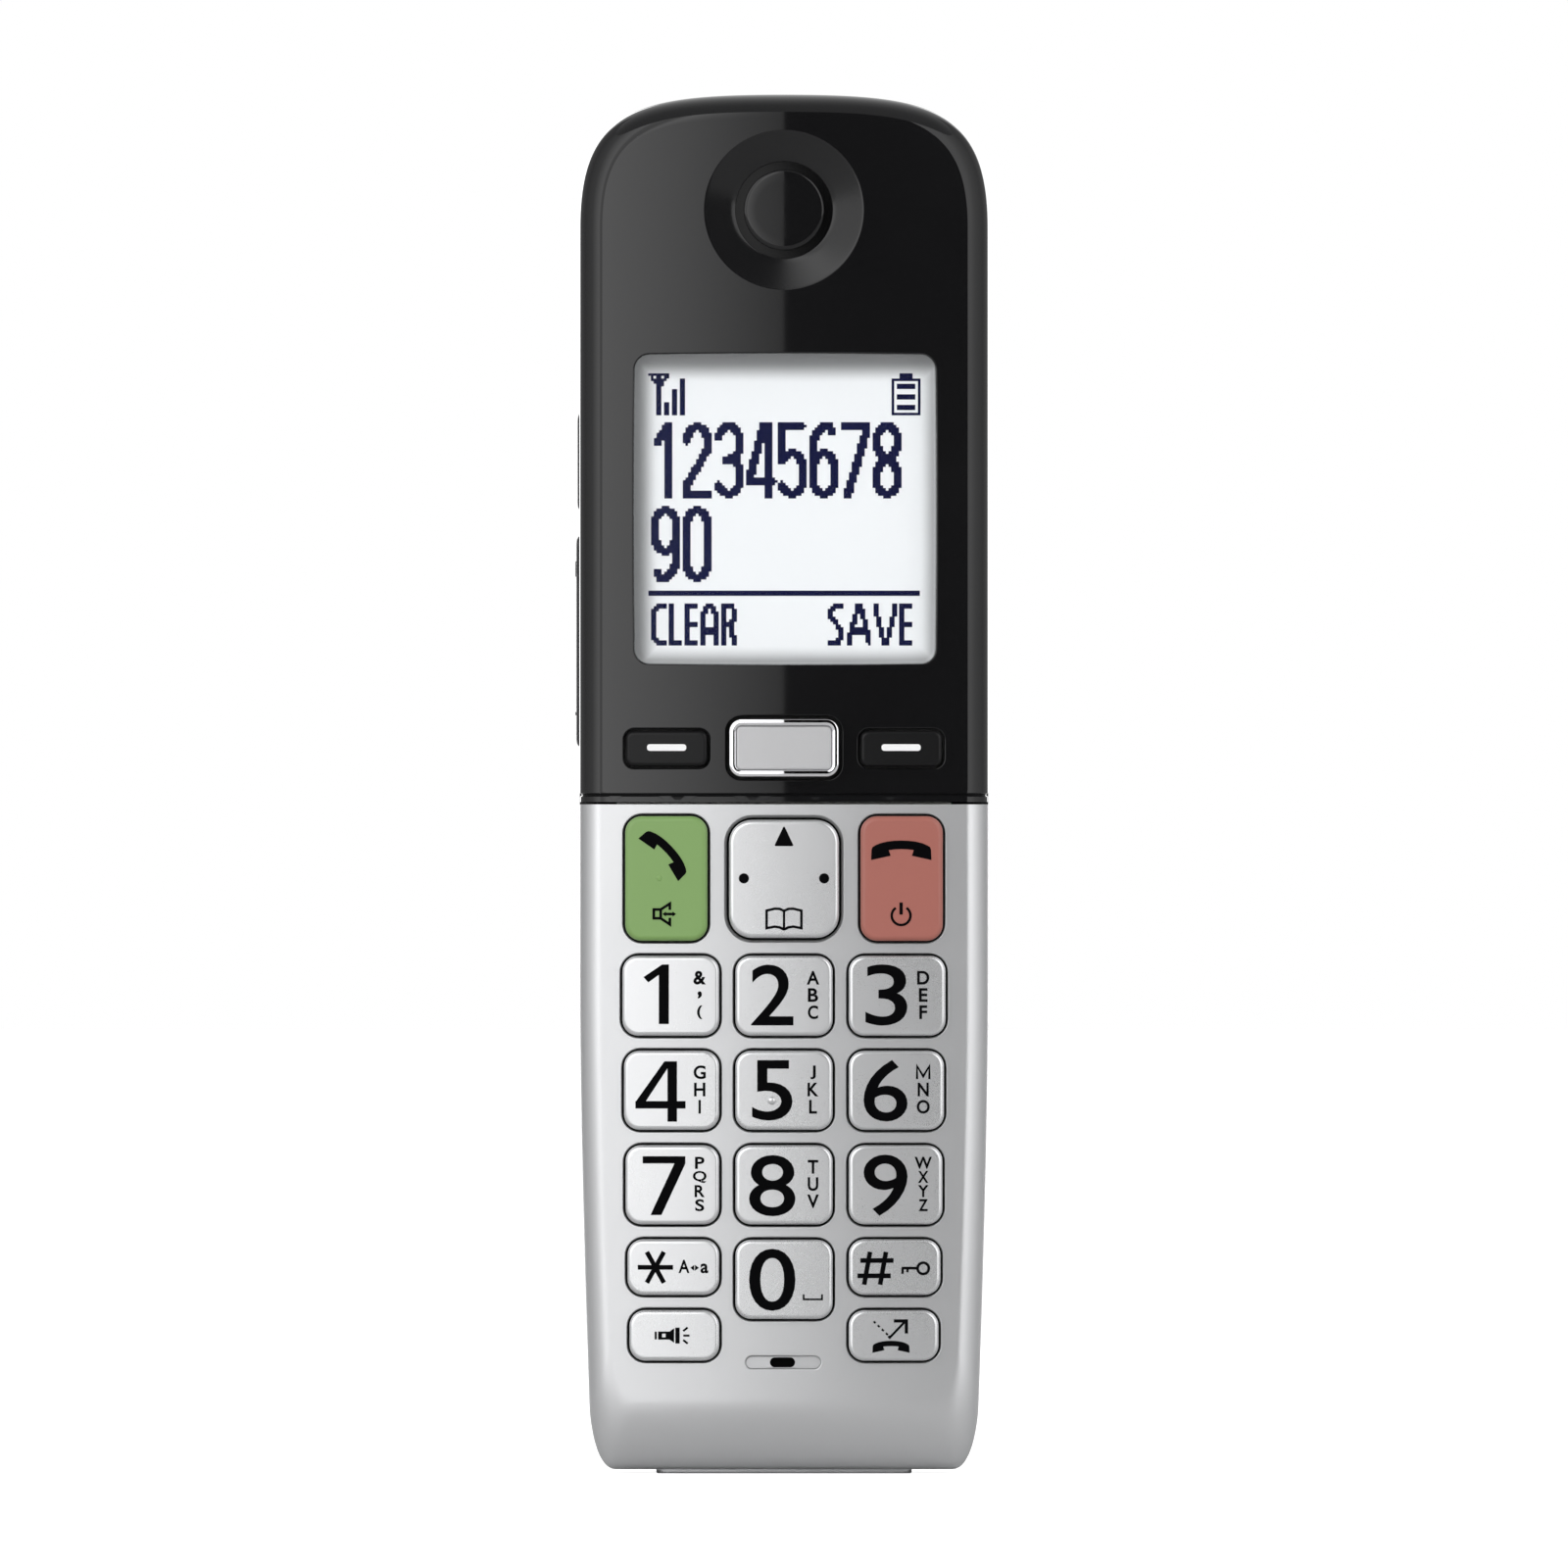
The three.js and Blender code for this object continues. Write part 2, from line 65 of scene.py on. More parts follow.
def newGroup(name, inputs, outputs):
    group = bpy.data.node_groups.new(name, "ShaderNodeTree")
    for label, kind, default in inputs:
        socket = group.interface.new_socket(name=label, in_out="INPUT", socket_type=kind)
        socket.default_value = default
    for label, kind in outputs:
        group.interface.new_socket(name=label, in_out="OUTPUT", socket_type=kind)
    return group, group.nodes.new("NodeGroupInput"), group.nodes.new("NodeGroupOutput")


def addNode(tree, kind, **values):
    node = tree.nodes.new(kind)
    for key, value in values.items():
        setattr(node, key, value)
    return node


def addMath(tree, operation, first, second):
    node = addNode(tree, "ShaderNodeMath", operation=operation)
    for socket, value in zip(node.inputs, (first, second)):
        if isinstance(value, (int, float)):
            socket.default_value = value
        else:
            tree.links.new(value, socket)
    return node.outputs[0]


# Moulded or painted plastic: a fine grain in colour, gloss and height, and a faint cloudiness.
def mouldedGroup():
    group, entry, leave = newGroup(
        "mouldedGrain",
        [("Color", "NodeSocketColor", (0.5, 0.5, 0.5, 1)), ("Roughness", "NodeSocketFloat", 0.4),
         ("Grain Size", "NodeSocketFloat", 0.2), ("Speckle", "NodeSocketFloat", 0.05),
         ("Gloss Spread", "NodeSocketFloat", 0.05), ("Bump", "NodeSocketFloat", 0.1)],
        [("Color", "NodeSocketColor"), ("Roughness", "NodeSocketFloat"), ("Normal", "NodeSocketVector")],
    )
    links = group.links
    place = addNode(group, "ShaderNodeTexCoord").outputs["Object"]
    scale = addMath(group, "DIVIDE", 1000.0, entry.outputs["Grain Size"])
    grain = addNode(group, "ShaderNodeTexNoise")
    grain.inputs["Detail"].default_value = 2
    links.new(place, grain.inputs["Vector"])
    links.new(scale, grain.inputs["Scale"])
    cloud = addNode(group, "ShaderNodeTexNoise")
    cloud.inputs["Scale"].default_value = 60
    cloud.inputs["Detail"].default_value = 3
    links.new(place, cloud.inputs["Vector"])
    centred = addMath(group, "SUBTRACT", grain.outputs["Fac"], 0.5)
    speck = addMath(group, "MULTIPLY", centred, entry.outputs["Speckle"])
    bright = addMath(group, "ADD", speck, 1.0)
    tint = addNode(group, "ShaderNodeVectorMath", operation="SCALE")
    links.new(entry.outputs["Color"], tint.inputs[0])
    links.new(bright, tint.inputs["Scale"])
    links.new(tint.outputs[0], leave.inputs["Color"])
    mist = addMath(group, "SUBTRACT", cloud.outputs["Fac"], 0.5)
    both = addMath(group, "ADD", mist, centred)
    spread = addMath(group, "MULTIPLY", both, entry.outputs["Gloss Spread"])
    links.new(addMath(group, "ADD", spread, entry.outputs["Roughness"]), leave.inputs["Roughness"])
    bump = addNode(group, "ShaderNodeBump")
    bump.inputs["Distance"].default_value = 0.00005
    links.new(entry.outputs["Bump"], bump.inputs["Strength"])
    links.new(grain.outputs["Fac"], bump.inputs["Height"])
    links.new(bump.outputs[0], leave.inputs["Normal"])
    return group


# Handling marks on polished parts: faint smudges and hairline scratches.
def handledGroup():
    group, entry, leave = newGroup(
        "handledGloss",
        [("Color", "NodeSocketColor", (0.02, 0.02, 0.02, 1)), ("Roughness", "NodeSocketFloat", 0.08),
         ("Smudge", "NodeSocketFloat", 0.04), ("Scratch", "NodeSocketFloat", 0.05)],
        [("Color", "NodeSocketColor"), ("Roughness", "NodeSocketFloat"), ("Normal", "NodeSocketVector")],
    )
    links = group.links
    place = addNode(group, "ShaderNodeTexCoord").outputs["Object"]
    smear = addNode(group, "ShaderNodeTexNoise")
    smear.inputs["Scale"].default_value = 45
    smear.inputs["Detail"].default_value = 4
    smear.inputs["Distortion"].default_value = 0.6
    links.new(place, smear.inputs["Vector"])
    squeeze = addNode(group, "ShaderNodeMapping")
    squeeze.inputs["Rotation"].default_value = (0, 0.5, 0)
    squeeze.inputs["Scale"].default_value = (40, 400, 4000)
    links.new(place, squeeze.inputs["Vector"])
    hair = addNode(group, "ShaderNodeTexNoise")
    hair.inputs["Scale"].default_value = 1.0
    hair.inputs["Detail"].default_value = 2
    links.new(squeeze.outputs[0], hair.inputs["Vector"])
    rough = addMath(group, "MULTIPLY", smear.outputs["Fac"], entry.outputs["Smudge"])
    links.new(addMath(group, "ADD", rough, entry.outputs["Roughness"]), leave.inputs["Roughness"])
    dust = addMath(group, "MULTIPLY", rough, 0.4)
    tint = addNode(group, "ShaderNodeMix", data_type="RGBA")
    tint.inputs["B"].default_value = (0.35, 0.35, 0.36, 1)
    links.new(dust, tint.inputs["Factor"])
    links.new(entry.outputs["Color"], tint.inputs["A"])
    links.new(tint.outputs["Result"], leave.inputs["Color"])
    bump = addNode(group, "ShaderNodeBump")
    bump.inputs["Distance"].default_value = 0.00001
    links.new(entry.outputs["Scratch"], bump.inputs["Strength"])
    links.new(hair.outputs["Fac"], bump.inputs["Height"])
    links.new(bump.outputs[0], leave.inputs["Normal"])
    return group


mouldedGrain = mouldedGroup()
handledGloss = handledGroup()


def newMaterial(name, group, values, **shader):
    material = bpy.data.materials.new(name)
    material.use_nodes = True
    tree = material.node_tree
    principled = tree.nodes["Principled BSDF"]
    finish = addNode(tree, "ShaderNodeGroup", node_tree=group)
    for label, value in values.items():
        finish.inputs[label].default_value = value
    tree.links.new(finish.outputs["Color"], principled.inputs["Base Color"])
    tree.links.new(finish.outputs["Roughness"], principled.inputs["Roughness"])
    tree.links.new(finish.outputs["Normal"], principled.inputs["Normal"])
    for label, value in shader.items():
        principled.inputs[label.replace("_", " ")].default_value = value
    return material


def moulded(name, color, roughness, size, speckle, spread, bump, **shader):
    values = {"Color": (*color, 1), "Roughness": roughness, "Grain Size": size,
              "Speckle": speckle, "Gloss Spread": spread, "Bump": bump}
    return newMaterial(name, mouldedGrain, values, **shader)


def polished(name, color, roughness, smudge, scratch, **shader):
    values = {"Color": (*color, 1), "Roughness": roughness, "Smudge": smudge, "Scratch": scratch}
    return newMaterial(name, handledGloss, values, **shader)


finishes = {
    "glossBlack": polished("glossBlack", (0.006, 0.006, 0.0065), 0.02, 0.03, 0.02, Specular_IOR_Level=0.34),
    "dishBlack": polished("dishBlack", (0.006, 0.006, 0.0065), 0.14, 0.04, 0.02, Specular_IOR_Level=0.34),
    "satinBlack": moulded("satinBlack", (0.018, 0.018, 0.02), 0.42, 0.35, 0.15, 0.1, 0.5),
    "silverPaint": moulded("silverPaint", (0.65, 0.655, 0.665), 0.31, 0.09, 0.03, 0.04, 0.02, Metallic=0.8),
    "keySilver": moulded("keySilver", (0.71, 0.715, 0.725), 0.28, 0.09, 0.03, 0.04, 0.02, Metallic=0.8),
    "chrome": polished("chrome", (0.86, 0.86, 0.88), 0.05, 0.04, 0.03, Metallic=1.0),
    "insertGrey": moulded("insertGrey", (0.56, 0.56, 0.57), 0.42, 0.12, 0.05, 0.04, 0.04, Metallic=0.5),
    "talkGreen": moulded("talkGreen", (0.215, 0.37, 0.115), 0.36, 0.2, 0.04, 0.05, 0.05),
    "offRed": moulded("offRed", (0.41, 0.14, 0.11), 0.36, 0.2, 0.04, 0.05, 0.05),
    "keyBlack": moulded("keyBlack", (0.006, 0.006, 0.0065), 0.3, 0.15, 0.1, 0.05, 0.05,
                        Specular_IOR_Level=0.2),
    "printBlack": moulded("printBlack", (0.0015, 0.0015, 0.002), 0.5, 0.1, 0.1, 0.05, 0.05,
                          Specular_IOR_Level=0.03),
    "printWhite": moulded("printWhite", (0.97, 0.97, 0.97), 0.5, 0.1, 0.05, 0.05, 0.05),
    "displayInk": moulded("displayInk", (0.0015, 0.003, 0.042), 0.5, 0.1, 0.05, 0.05, 0.02,
                          Specular_IOR_Level=0.1),
    # dark bare plastic under the finish, also used as painted shade in gaps and on the walls of openings
    "barePlastic": moulded("barePlastic", (0.012, 0.012, 0.012), 0.55, 0.2, 0.1, 0.05, 0.1),
    "darkVoid": moulded("darkVoid", (0.004, 0.004, 0.004), 0.8, 0.3, 0.2, 0.05, 0.2, Specular_IOR_Level=0.1),
    "steel": polished("steel", (0.55, 0.56, 0.58), 0.25, 0.1, 0.2, Metallic=1.0),
    "goldPlate": polished("goldPlate", (0.75, 0.53, 0.22), 0.2, 0.1, 0.2, Metallic=1.0),
    "cellWrap": polished("cellWrap", (0.05, 0.16, 0.07), 0.2, 0.1, 0.05),
    "boardGreen": moulded("boardGreen", (0.02, 0.10, 0.05), 0.4, 0.4, 0.3, 0.1, 0.2),
    "silicone": moulded("silicone", (0.55, 0.55, 0.52), 0.6, 0.3, 0.05, 0.05, 0.1),
    "whitePlastic": moulded("whitePlastic", (0.75, 0.75, 0.72), 0.45, 0.3, 0.05, 0.05, 0.1),
}


# The lit paper of the display, with painted shade along its edges, wider at the top and left, standing in for
# the shadow of the window's recess and partly for the backlight falling off there. Places and sizes are in
# metres.
displayGlowAndShade = {
    "middle": (0.0007, 0.1224), "half": (0.0196, 0.0198), "shade": 0.0034, "strength": 0.34, "edge": 0.28,
    "paper": (0.635, 0.645, 0.65), "lamp": (0.985, 0.995, 1.0),
}


def displayPaper():
    material = moulded("displayPaper", displayGlowAndShade["paper"], 0.45, 0.15, 0.02, 0.03, 0.02)
    tree = material.node_tree
    shader = tree.nodes["Principled BSDF"]
    place = addNode(tree, "ShaderNodeSeparateXYZ")
    tree.links.new(addNode(tree, "ShaderNodeTexCoord").outputs["Object"], place.inputs[0])
    inside = []
    for axis, middle, half in zip(("X", "Z"), displayGlowAndShade["middle"], displayGlowAndShade["half"]):
        away = addMath(tree, "ABSOLUTE", addMath(tree, "SUBTRACT", place.outputs[axis], middle), 0)
        inside.append(addMath(tree, "SUBTRACT", half, away))
    # painted shade: the paper's colour and its glow both fall to the edge level within a few millimetres of
    # its edges
    paintedEdgeShade = addNode(tree, "ShaderNodeMapRange", interpolation_type="SMOOTHERSTEP")
    paintedEdgeShade.inputs["From Max"].default_value = displayGlowAndShade["shade"]
    paintedEdgeShade.inputs["To Min"].default_value = displayGlowAndShade["edge"]
    tree.links.new(addMath(tree, "MINIMUM", *inside), paintedEdgeShade.inputs["Value"])
    for target, color in (("Base Color", displayGlowAndShade["paper"]), ("Emission Color", displayGlowAndShade["lamp"])):
        shade = addNode(tree, "ShaderNodeVectorMath", operation="SCALE")
        shade.inputs[0].default_value = color
        tree.links.new(paintedEdgeShade.outputs[0], shade.inputs["Scale"])
        tree.links.new(shade.outputs[0], shader.inputs[target])
    shader.inputs["Emission Strength"].default_value = displayGlowAndShade["strength"]
    return material


def clearPane(name):
    material = polished(name, (0.97, 0.98, 0.99), 0.0, 0.01, 0.0, Transmission_Weight=1.0, IOR=1.16)
    tree = material.node_tree
    shader = tree.nodes["Principled BSDF"]
    ray = addNode(tree, "ShaderNodeLightPath")
    through = addNode(tree, "ShaderNodeBsdfTransparent")
    mix = addNode(tree, "ShaderNodeMixShader")
    tree.links.new(ray.outputs["Is Shadow Ray"], mix.inputs[0])
    tree.links.new(shader.outputs[0], mix.inputs[1])
    tree.links.new(through.outputs[0], mix.inputs[2])
    tree.links.new(mix.outputs[0], tree.nodes["Material Output"].inputs["Surface"])
    return material


finishes["displayPaper"] = displayPaper()
finishes["clearPane"] = clearPane("clearPane")
finishes["clearLens"] = clearPane("clearLens")

print("stage: shape helpers")


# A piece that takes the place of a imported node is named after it.
def finishPiece(piece, body, material, replaces, sharp, normals=None, bareAndShaded=None):
    base = piece.name.split(".")[0]
    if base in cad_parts:
        piece.name = base + "_finished"
    mesh = piece.data
    mesh.materials.clear()
    mesh.materials.append(finishes[material])
    # faces that pass the test show the dark bare plastic, painted shade in gaps and openings as well
    if bareAndShaded:
        mesh.materials.append(finishes["barePlastic"])
        for face in mesh.polygons:
            face.material_index = 1 if bareAndShaded(face.center / mm, face.normal) else 0
    mesh.shade_smooth()
    mesh.set_sharp_from_angle(angle=math.radians(sharp))
    if normals:
        zero = Vector((0, 0, 0))
        corners = []
        for face in mesh.polygons:
            corners += [normals[i] if normals[i].dot(face.normal) > 0.8 else zero for i in face.vertices]
        mesh.normals_split_custom_set(corners)
    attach(piece, body)
    if replaces:
        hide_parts(*replaces)
    return piece


def rawObject(name, verts, faces):
    mesh = bpy.data.meshes.new(name)
    bm = bmesh.new()
    corners = [bm.verts.new(Vector(v) * mm) for v in verts]
    for face in faces:
        if len(set(face)) > 2:
            bm.faces.new([corners[i] for i in face])
    bmesh.ops.remove_doubles(bm, verts=bm.verts, dist=mergeDistance)
    bmesh.ops.recalc_face_normals(bm, faces=bm.faces)
    bm.to_mesh(mesh)
    bm.free()
    piece = bpy.data.objects.new(name, mesh)
    bpy.context.scene.collection.objects.link(piece)
    return piece


# Where the given test holds for a face's middle and normal, the face shows the dark bare plastic that the
# finish covers elsewhere, which also serves as painted shade in the gaps round keys and on the walls of
# openings.
def makePiece(name, verts, faces, body, material, replaces, sharp, normalAt=None, bareAndShaded=None):
    piece = rawObject(name, verts, faces)
    normals = None
    if normalAt:
        normals = [normalAt(v.co / mm) for v in piece.data.vertices]
    return finishPiece(piece, body, material, replaces, sharp, normals, bareAndShaded)


# Faces between closed rings of equal length, capped at the first and, if asked, at the last.
def loftFaces(rings, lastCap=True):
    count = len(rings[0])
    faces = []
    for k in range(len(rings) - 1):
        for i in range(count):
            j = (i + 1) % count
            a = k * count
            faces.append((a + i, a + j, a + count + j, a + count + i))
    faces.append(tuple(range(count)))
    if lastCap:
        faces.append(tuple((len(rings) - 1) * count + i for i in range(count)))
    return faces


def joined(rings):
    return [spot for ring in rings for spot in ring]


def roundedLoop(x, z, width, height, radius, steps=8, straight=1):
    loop = []
    arcs = [(1, -1, -90), (1, 1, 0), (-1, 1, 90), (-1, -1, 180)]
    for sx, sz, first in arcs:
        cx = x + sx * (width / 2 - radius)
        cz = z + sz * (height / 2 - radius)
        for k in range(steps + 1):
            a = math.radians(first + 90 * k / steps)
            loop.append((cx + radius * math.cos(a), cz + radius * math.sin(a)))
    full = []
    for i, point in enumerate(loop):
        after = loop[(i + 1) % len(loop)]
        parts = straight if (i + 1) % (steps + 1) == 0 else 1
        for k in range(parts):
            full.append((point[0] + (after[0] - point[0]) * k / parts,
                         point[1] + (after[1] - point[1]) * k / parts))
    return full


def roundLoop(x, z, radius, steps):
    turn = 2 * math.pi / steps
    return [(x + radius * math.cos(k * turn), z + radius * math.sin(k * turn)) for k in range(steps)]


def insideLoop(point, loop):
    x, z = point
    inside = False
    for (ax, az), (bx, bz) in zip(loop, loop[1:] + loop[:1]):
        if (az > z) != (bz > z) and x < ax + (z - az) / (bz - az) * (bx - ax):
            inside = not inside
    return inside


# Steps of the grid in a flat area, across and up, and the square of the least distance between its points.
gridStep = {"cover": (1.6, 3.2), "key": (1.5, 1.5), "back": (2.2, 5), "nearest": 0.16}


# Triangles over the area inside a loop and outside its holes, with a grid of points between them.
def fillArea(loop, holes, stepX, stepZ, rows=()):
    points = list(loop)
    edges = [(i, (i + 1) % len(loop)) for i in range(len(loop))]
    for hole in holes:
        first = len(points)
        points += hole
        edges += [(first + i, first + (i + 1) % len(hole)) for i in range(len(hole))]
    fixed = list(points)
    xs, zs = [p[0] for p in loop], [p[1] for p in loop]
    columns = int((max(xs) - min(xs)) / stepX)
    levels = [min(zs) + stepZ * (k + 0.5) for k in range(int((max(zs) - min(zs)) / stepZ))]
    for z in [*levels, *rows]:
        for c in range(columns + 1):
            spot = (min(xs) + (c + 0.5) * (max(xs) - min(xs)) / (columns + 1), z)
            near = min((spot[0] - q[0]) ** 2 + (spot[1] - q[1]) ** 2 for q in fixed)
            free = insideLoop(spot, loop) and not any(insideLoop(spot, hole) for hole in holes)
            if near > gridStep["nearest"] and free:
                points.append(spot)
    result = delaunay_2d_cdt([Vector(p) for p in points], edges, [], 0, 1e-6)
    source = [orig[0] for orig in result[3]]
    faces = []
    for triangle in result[2]:
        cx = sum(result[0][i][0] for i in triangle) / 3
        cz = sum(result[0][i][1] for i in triangle) / 3
        if insideLoop((cx, cz), loop) and not any(insideLoop((cx, cz), h) for h in holes):
            faces.append(tuple(source[i] for i in triangle))
    return points, faces


print("stage: front covers")

case = {
    "halfWidth": 26.1, "height": 176, "foot": 0.55, "front": -13, "back": 15, "split": -1, "rearStart": -0.7,
    "wall": 1.8, "crown": 260, "rimWidth": 3, "rimBottom": 9, "rimEnd": -8,
    "sideLow": 63, "sideHigh": 159, "seamLow": 85.4, "seamHigh": 85.7, "footHalfWidth": 16.3,
    "footFlat": 21.5, "footPulls": ((24.25, 0.55), (24.8, 7.5)), "footEnd": (24.84, 8.5), "taperPull": 42.5,
    "topPulls": (174.5, 18.5), "seamSteps": 34,
}
seamHalf = case["halfWidth"] - case["rimWidth"]


def crown(x):
    return x * x / (2 * case["crown"])


def crownNormal(x):
    return Vector((x / case["crown"], -1, 0)).normalized()


def bezier(pulls, count):
    spots = []
    for k in range(count + 1):
        t = k / count
        weights = ((1 - t) ** 3, 3 * t * (1 - t) ** 2, 3 * t * t * (1 - t), t ** 3)
        spots.append(tuple(sum(w * q[i] for w, q in zip(weights, pulls)) for i in range(2)))
    return spots


def cornerBottom(count):
    return bezier([(case["footFlat"], case["foot"]), *case["footPulls"], case["footEnd"]], count)


def sideTaper(count):
    wide = case["halfWidth"]
    a, b, c = case["footEnd"], (wide, case["taperPull"]), (wide, case["sideLow"])
    return bezier([a, tuple(p + (q - p) * 2 / 3 for p, q in zip(a, b)),
                   tuple(p + (q - p) * 2 / 3 for p, q in zip(c, b)), c], count)


def cornerTop(count):
    wide, high = case["halfWidth"], case["height"]
    pullUp, pullOut = case["topPulls"]
    return bezier([(wide, case["sideHigh"]), (wide, pullUp), (pullOut, high), (0, high)], count)


# Right half of the case's front view, from the middle of the foot up to z, or from z up to the top.
def lowerHalf(top):
    base = [(case["footFlat"] * k / 8, case["foot"]) for k in range(8)]
    side = [(case["halfWidth"], case["sideLow"] + (top - case["sideLow"]) * k / 8) for k in range(1, 9)]
    return base + cornerBottom(18) + sideTaper(14)[1:] + side


def upperHalf(bottom, extra=()):
    levels = sorted({bottom, *extra, *[bottom + 1.5 + (157.5 - bottom) * k / 24 for k in range(24)]})
    return [(case["halfWidth"], z) for z in levels] + cornerTop(48)


def mirrored(points):
    return [(-x, z) for x, z in reversed(points)]


# The outline moved in: share runs from 0 at the sides of the case to 1 at the edge of its front.
def outlineAt(points, inset, share):
    low, high, rim = case["sideLow"], case["sideHigh"], case["rimWidth"]
    moveTop = inset + rim * share
    moveBottom = inset + case["rimBottom"] * share
    across = (case["halfWidth"] - inset - rim * share) / case["halfWidth"]
    up = (case["height"] - high - moveTop) / (case["height"] - high)
    down = (low - case["foot"] - moveBottom) / (low - case["foot"])
    ring = []
    for x, z in points:
        if z > high:
            z = high + (z - high) * up
        elif z < low:
            z = low - (low - z) * down
        ring.append((x * across, z))
    return ring


# A line round the rounded rim: turn runs from 0 at the edge of the front to a quarter turn at the side.
def frontRing(points, inset, turn, groove=None):
    edge = outlineAt(points, inset, 1)
    ring = []
    for (x, z), (ex, _) in zip(outlineAt(points, inset, 1 - math.sin(turn)), edge):
        start = case["front"] + inset + crown(ex)
        slope = abs(ex) / case["crown"]
        whole = case["rimEnd"] + inset * 0.3 - start - slope * case["rimWidth"] * abs(ex) / seamHalf
        y = start + slope * abs(x - ex) + whole * (1 - math.cos(turn))
        if groove:
            y += groove(z) * math.cos(turn)
            x -= math.copysign(groove(z) * math.sin(turn), x)
        ring.append((x, y, z))
    return ring


def bands(a, b, closed):
    count = len(a)
    spans = count if closed else count - 1
    return [(a[i], a[(i + 1) % count], b[(i + 1) % count], b[i]) for i in range(spans)]


# Joins two seam edges whose end parts have different counts.
def seamFaces(outSeam, inSeam, outEnd, inEnd):
    def partner(k):
        if k < outEnd:
            return inSeam[round(k * (inEnd - 1) / (outEnd - 1))]
        if k >= len(outSeam) - outEnd:
            return inSeam[len(inSeam) - 1 - round((len(outSeam) - 1 - k) * (inEnd - 1) / (outEnd - 1))]
        return inSeam[inEnd + k - outEnd]

    pairs = [(outSeam[k], outSeam[k + 1], partner(k + 1), partner(k)) for k in range(len(outSeam) - 1)]
    return [pair if pair[2] != pair[3] else pair[:3] for pair in pairs]


# One front cover: crowned face with openings, rounded rim, side walls and a flat inner skin.
# A hole is a list of rings: the first lies on the face, the others are (x, z, depth below the face).
def frontCover(name, chain, seamPoints, holes, material, groove=None, rows=(), bareShadedInside=False,
               dish=False):
    wall = case["wall"]
    turns = [math.pi / 2 * k / 10 for k in range(11)]
    loop = [(x, z) for x, _, z in frontRing(chain, 0, 0)] + seamPoints
    points, faces = fillArea(loop, [hole[0] for hole in holes], *gridStep["cover"], rows)
    drop = groove or (lambda z: 0)
    verts = [(x, case["front"] + crown(x) + drop(z), z) for x, z in points]
    count = len(points)
    inner = [(x, case["front"] + wall, z) for x, z in points]
    starts = [len(loop) + sum(len(h[0]) for h in holes[:k]) for k in range(len(holes))]
    for hole, first in zip(holes, starts):
        for i, (x, z, _) in enumerate(hole[-1]):
            inner[first + i] = (x, case["front"] + wall, z)
    verts += inner
    allFaces = list(faces) + [tuple(i + count for i in reversed(face)) for face in faces]
    for hole, first in zip(holes, starts):
        size = len(hole[0])
        ring = list(range(first, first + size))
        for level in hole[1:-1]:
            after = list(range(len(verts), len(verts) + size))
            verts += [(x, case["front"] + crown(x) + depth, z) for x, z, depth in level]
            allFaces += bands(ring, after, True)
            ring = after
        allFaces += bands(ring, list(range(first + count, first + count + size)), True)

    def skirt(first, rings):
        track = [first]
        for ring in rings:
            track.append(list(range(len(verts), len(verts) + len(ring))))
            verts.extend(ring)
        for a, b in zip(track, track[1:]):
            allFaces.extend(bands(a, b, False))
        return track

    size = len(chain)
    outerRings = [frontRing(chain, 0, turn, groove) for turn in turns[1:]]
    outerRings.append([(x, case["split"], z) for x, _, z in outerRings[-1]])
    outer = skirt(list(range(size)), outerRings)
    innerRings = [frontRing(chain, wall, turn) for turn in (turns[5], turns[7], turns[10])]
    innerRings.append([(x, case["split"], z) for x, _, z in innerRings[-1]])
    innerTrack = skirt([i + count for i in range(size)], innerRings)
    allFaces += bands(outer[-1], innerTrack[-1], False)
    seam = list(range(size, len(loop)))
    outSeam = [ring[-1] for ring in reversed(outer)] + seam + [ring[0] for ring in outer]
    inSeam = [ring[-1] for ring in reversed(innerTrack)]
    inSeam += [i + count for i in seam] + [ring[0] for ring in innerTrack]
    allFaces += seamFaces(outSeam, inSeam, len(outer), len(innerTrack))

    def normalAt(co):
        x, y, z = co
        onFace = abs(y - case["front"] - crown(x)) < 0.004 and abs(x) <= seamHalf + 0.01
        return crownNormal(x) if onFace and drop(z) == 0 else Vector((0, 0, 0))

    # the walls of the openings and the inside are left as dark bare plastic, also painted shade that darkens
    # the openings and the gaps round the keys
    def bareShadedWalls(middle, normal):
        x, y, z = middle
        upright = abs(normal.y) < 0.2 and abs(x) < seamHalf - 0.5 and 11 < z < 172
        return bareShadedInside and y > case["front"] + crown(x) + 0.2 and (upright or normal.y > 0.5)

    cover = makePiece(name, verts, allFaces, "handset", material, (name,), 30, normalAt, bareShadedWalls)
    if dish:
        cover.data.materials.append(finishes["dishBlack"])
        for face in cover.data.polygons:
            x, y, z = face.center / mm
            away = math.hypot(x, z - earpiece["z"])
            if earpiece["hole"] < away < earpiece["dish"] - 0.1 and face.normal.y < -0.5:
                face.material_index = 2
    return cover


def nodeBox(node):
    low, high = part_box(node)
    return [v / mm for v in low], [v / mm for v in high]


flange = {"wide": 0.6, "front": -10.9, "back": -10.1}


# Where a key is and how far it stands proud, from its box less the flange that holds it.
def keyPlace(node):
    low, high = nodeBox(node)
    return {"x": (low[0] + high[0]) / 2, "z": (low[2] + high[2]) / 2,
            "width": high[0] - low[0] - 2 * flange["wide"], "height": high[2] - low[2] - 2 * flange["wide"],
            "top": low[1] - case["front"]}


# Rounded edges as (distance outwards, depth).
openingEdge = [(0.2, 0.0), (0.11, 0.018), (0.045, 0.07), (0.012, 0.14), (0.0, 0.24)]
padOpeningEdge = [(0.4, 0.0), (0.34, 0.03), (0.16, 0.1), (0.06, 0.15), (0.0, 0.3)]


def profileHole(loops):
    rings = [[(x, z, depth) for x, z in loop] for loop, depth in loops]
    rings[0] = [(x, z) for x, z, _ in rings[0]]
    return rings


